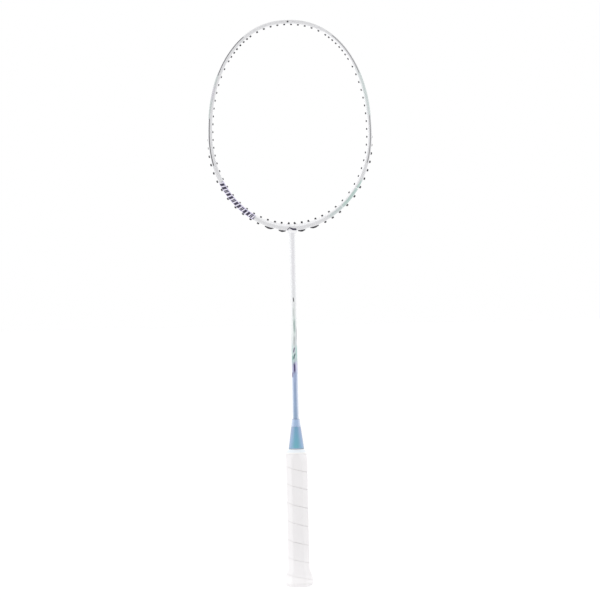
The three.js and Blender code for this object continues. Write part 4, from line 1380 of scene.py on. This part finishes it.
film_white, tree, shader = new_material("finishing_film_white", Coat_Weight=0.3, Coat_Roughness=0.2)
height = object_place(tree).parts()[2]
lower = height.step(grip_top - 0.0002, grip_top + 0.0012, 1.0, 0.0)
tint = lower.mix(paint(238, 244, 250), paint(252, 251, 249))
marked = use(tree, handling, Colour=tint, Amount=0.4)["Colour"]
dress(shader, plastic, Colour=marked, Cloud=0.04, Grain=0.2, Gloss=0.4)
seat(band, film_white, "band_film", "finishing_band")
print("plastic, rubber and film ready")

# %% [markdown]
# Grip: material
#
# The tape is foamed polyurethane with a fine pebbled skin. Its pores follow the strip, so
# they are laid out in the strip's own measure: the run along the winding and the height
# above its lower edge, both carried by the mesh in metres. Next to an edge the skin is
# drawn into short creases. In the seam between two turns it is painted a little darker:
# painted shade, because light hardly reaches it, and grime that a clean cloth misses. Near
# the butt and on the shoulder it is painted lighter, as painted light where it catches more.

# %% Grip material
tape_skin, tree, shader = new_material("grip_pebbled_white", Specular_IOR_Level=0.3, Sheen_Weight=0.1)
run, from_low, from_high, shoulder_light = carried(tree, "run", "from_low", "from_high", "shoulder_light")
height = object_place(tree).parts()[2]
strip = run.new("ShaderNodeCombineXYZ", {"X": run, "Y": from_low})
pebble = strip.cells(1300.0, "Distance", 0.9).step(0.05, 0.55)
crease = strip.scaled(420.0, 90.0, 1.0).noise(1.0, 3.0, 0.6)
near_edge = from_low.step(0.005, 0.0005).larger(from_high.step(0.004, 0.0005))
relief = pebble * 0.35 + crease * near_edge
feed(shader["Normal"], relief.bump(0.55, 0.00012))
feed(shader["Roughness"], 0.72 - pebble * 0.12)

# Painted light: the tape is painted lighter towards the butt, for the light its flare catches there.
butt_light_falloff = height.step(0.009, 0.016, 0.0, 0.6) + height.step(0.016, 0.05, 0.0, 0.4)
skin_colour = butt_light_falloff.mix(paint(250, 248, 249), paint(239, 237, 238))
# Painted light: lighter on the shoulder, where the tape faces a little upwards.
skin_colour = (shoulder_light * 0.6).mix(skin_colour, paint(250, 248, 250))
skin_colour = skin_colour.shade((strip.noise(60.0, 3.0) - 0.5) * 0.05)
skin_colour = use(tree, handling, Colour=skin_colour, Amount=0.5)["Colour"]
# Painted shade and grime: the seam between turns is painted darker, as shade where light hardly reaches and
# dirt a cloth misses.
seam_shade_and_grime = from_low.step(0.0007, 0.0001).larger(from_high.step(0.0004, 0.0001))
seam_shade_and_grime = seam_shade_and_grime * height.step(0.030, 0.052, 0.05, 0.15)
feed(shader["Base Color"], seam_shade_and_grime.mix(skin_colour, paint(176, 172, 166)))
seat(tape, tape_skin, "grip_tape", "grip_tape")
print("grip finished")

# %% [markdown]
# Inside: resin and wood
#
# Two solids of the construction stay as they are, the joint in the throat and the wooden
# core of the handle. They are hidden in the finished racket, and whoever takes it apart
# finds dark resin with cut fibres and pale wood with a grain that runs up the handle.

# %% Resin and wood
resin, tree, shader = new_material("joint_fibre_resin", Specular_IOR_Level=0.4)
fleck = object_place(tree).scaled(300.0, 2600.0, 900.0).noise(1.0, 3.0, 0.6).step(0.5, 0.7)
feed(shader["Base Color"], fleck.mix(paint(70, 73, 77), paint(104, 107, 112)))
feed(shader["Roughness"], fleck.step(0.0, 1.0, 0.42, 0.62))

wood, tree, shader = new_material("handle_pale_wood", Specular_IOR_Level=0.3)
grown = object_place(tree).scaled(420.0, 420.0, 14.0).noise(1.0, 4.0, 0.6)
year = (grown * 6.0).math("FRACT").step(0.2, 0.9)
feed(shader["Base Color"], year.mix(paint(214, 182, 136), paint(184, 146, 100)))
feed(shader["Roughness"], year.step(0.0, 1.0, 0.6, 0.75))
feed(shader["Normal"], year.bump(0.2, 0.0001))
for node, finish in (("t_joint", resin), ("handle_core", wood)):
    nodes[node].data.materials.clear()
    nodes[node].data.materials.append(finish)
print("resin and wood ready")

# %% [markdown]
# Floor and light
#
# The photograph is a cut-out on pure white, lit from all round, and only the sides that
# face the camera and look away from it are a little duller. So the sky is white to the
# camera and to reflections and, for the light it gives, bright at the sides and above and
# dimmer in front and behind. The floor is a light table: pale, and lit faintly from below,
# so that the butt stands in hardly any shadow. Two wide soft panels add the gloss lines on
# the lacquer.

# %% Floor
floor_reach = 30.0
floor_corners = floor_reach * np.array([[-1, -1, 0], [1, -1, 0], [1, 1, 0], [-1, 1, 0]])
floor = add_mesh("light_table", floor_corners, np.array([[0, 1, 2, 3]]))
table_white, tree, shader = new_material("light_table_white", Roughness=0.9, Specular_IOR_Level=0.1)
cloud = object_place(tree).noise(3.0, 4.0)
feed(shader["Base Color"], cloud.mix(paint(187, 187, 187), paint(192, 192, 192)))
feed(shader["Emission Color"], (1, 1, 1, 1))
feed(shader["Emission Strength"], 0.55)
floor.data.materials.append(table_white)
print(f"floor: {2 * floor_reach:.0f} m wide")

# %% Sky
sky_ends, sky_left, sky_right, sky_top = 0.32, 1.38, 1.18, 0.5
sky = bpy.data.worlds.new("white_sky")
bpy.context.scene.world = sky
sky.use_nodes = True
tree = sky.node_tree
east, _, up = Field(add_node(tree, "ShaderNodeTexCoord").outputs["Generated"]).parts()
side_light = east.step(-0.3, 0.3, sky_left, sky_right)
level = abs(east).step(0.15, 0.85) * (side_light - sky_ends) + sky_ends
light = level + up.step(0.45, 0.95, 0.0, sky_top)
rays = add_node(tree, "ShaderNodeLightPath").outputs
white = Field(rays["Is Camera Ray"]).larger(Field(rays["Is Glossy Ray"]))
background = tree.nodes["Background"].inputs
feed(background["Strength"], light * (1.0 - white) + white)
feed(background["Color"], (1, 1, 1, 1))
print("sky ready")


# %% Panels
def panel(name, place, size, watts):
    """A soft rectangular lamp at place that faces the middle of the racket."""
    data = bpy.data.lights.new(name, "AREA")
    data.shape, data.size, data.size_y, data.energy = "RECTANGLE", *size, watts
    lamp = bpy.data.objects.new(name, data)
    lamp.location = place
    towards = Vector((0, 0, racket_length / 2)) - Vector(place)
    lamp.rotation_euler = towards.to_track_quat("-Z", "Y").to_euler()
    bpy.context.scene.collection.objects.link(lamp)


panel("left_panel", (-1.6, -0.9, 0.9), (0.6, 1.8), 3.0)
panel("right_panel", (1.7, -0.6, 0.8), (0.4, 1.6), 1.5)
bpy.context.scene.view_settings.view_transform = "Standard"
print("stage ready")
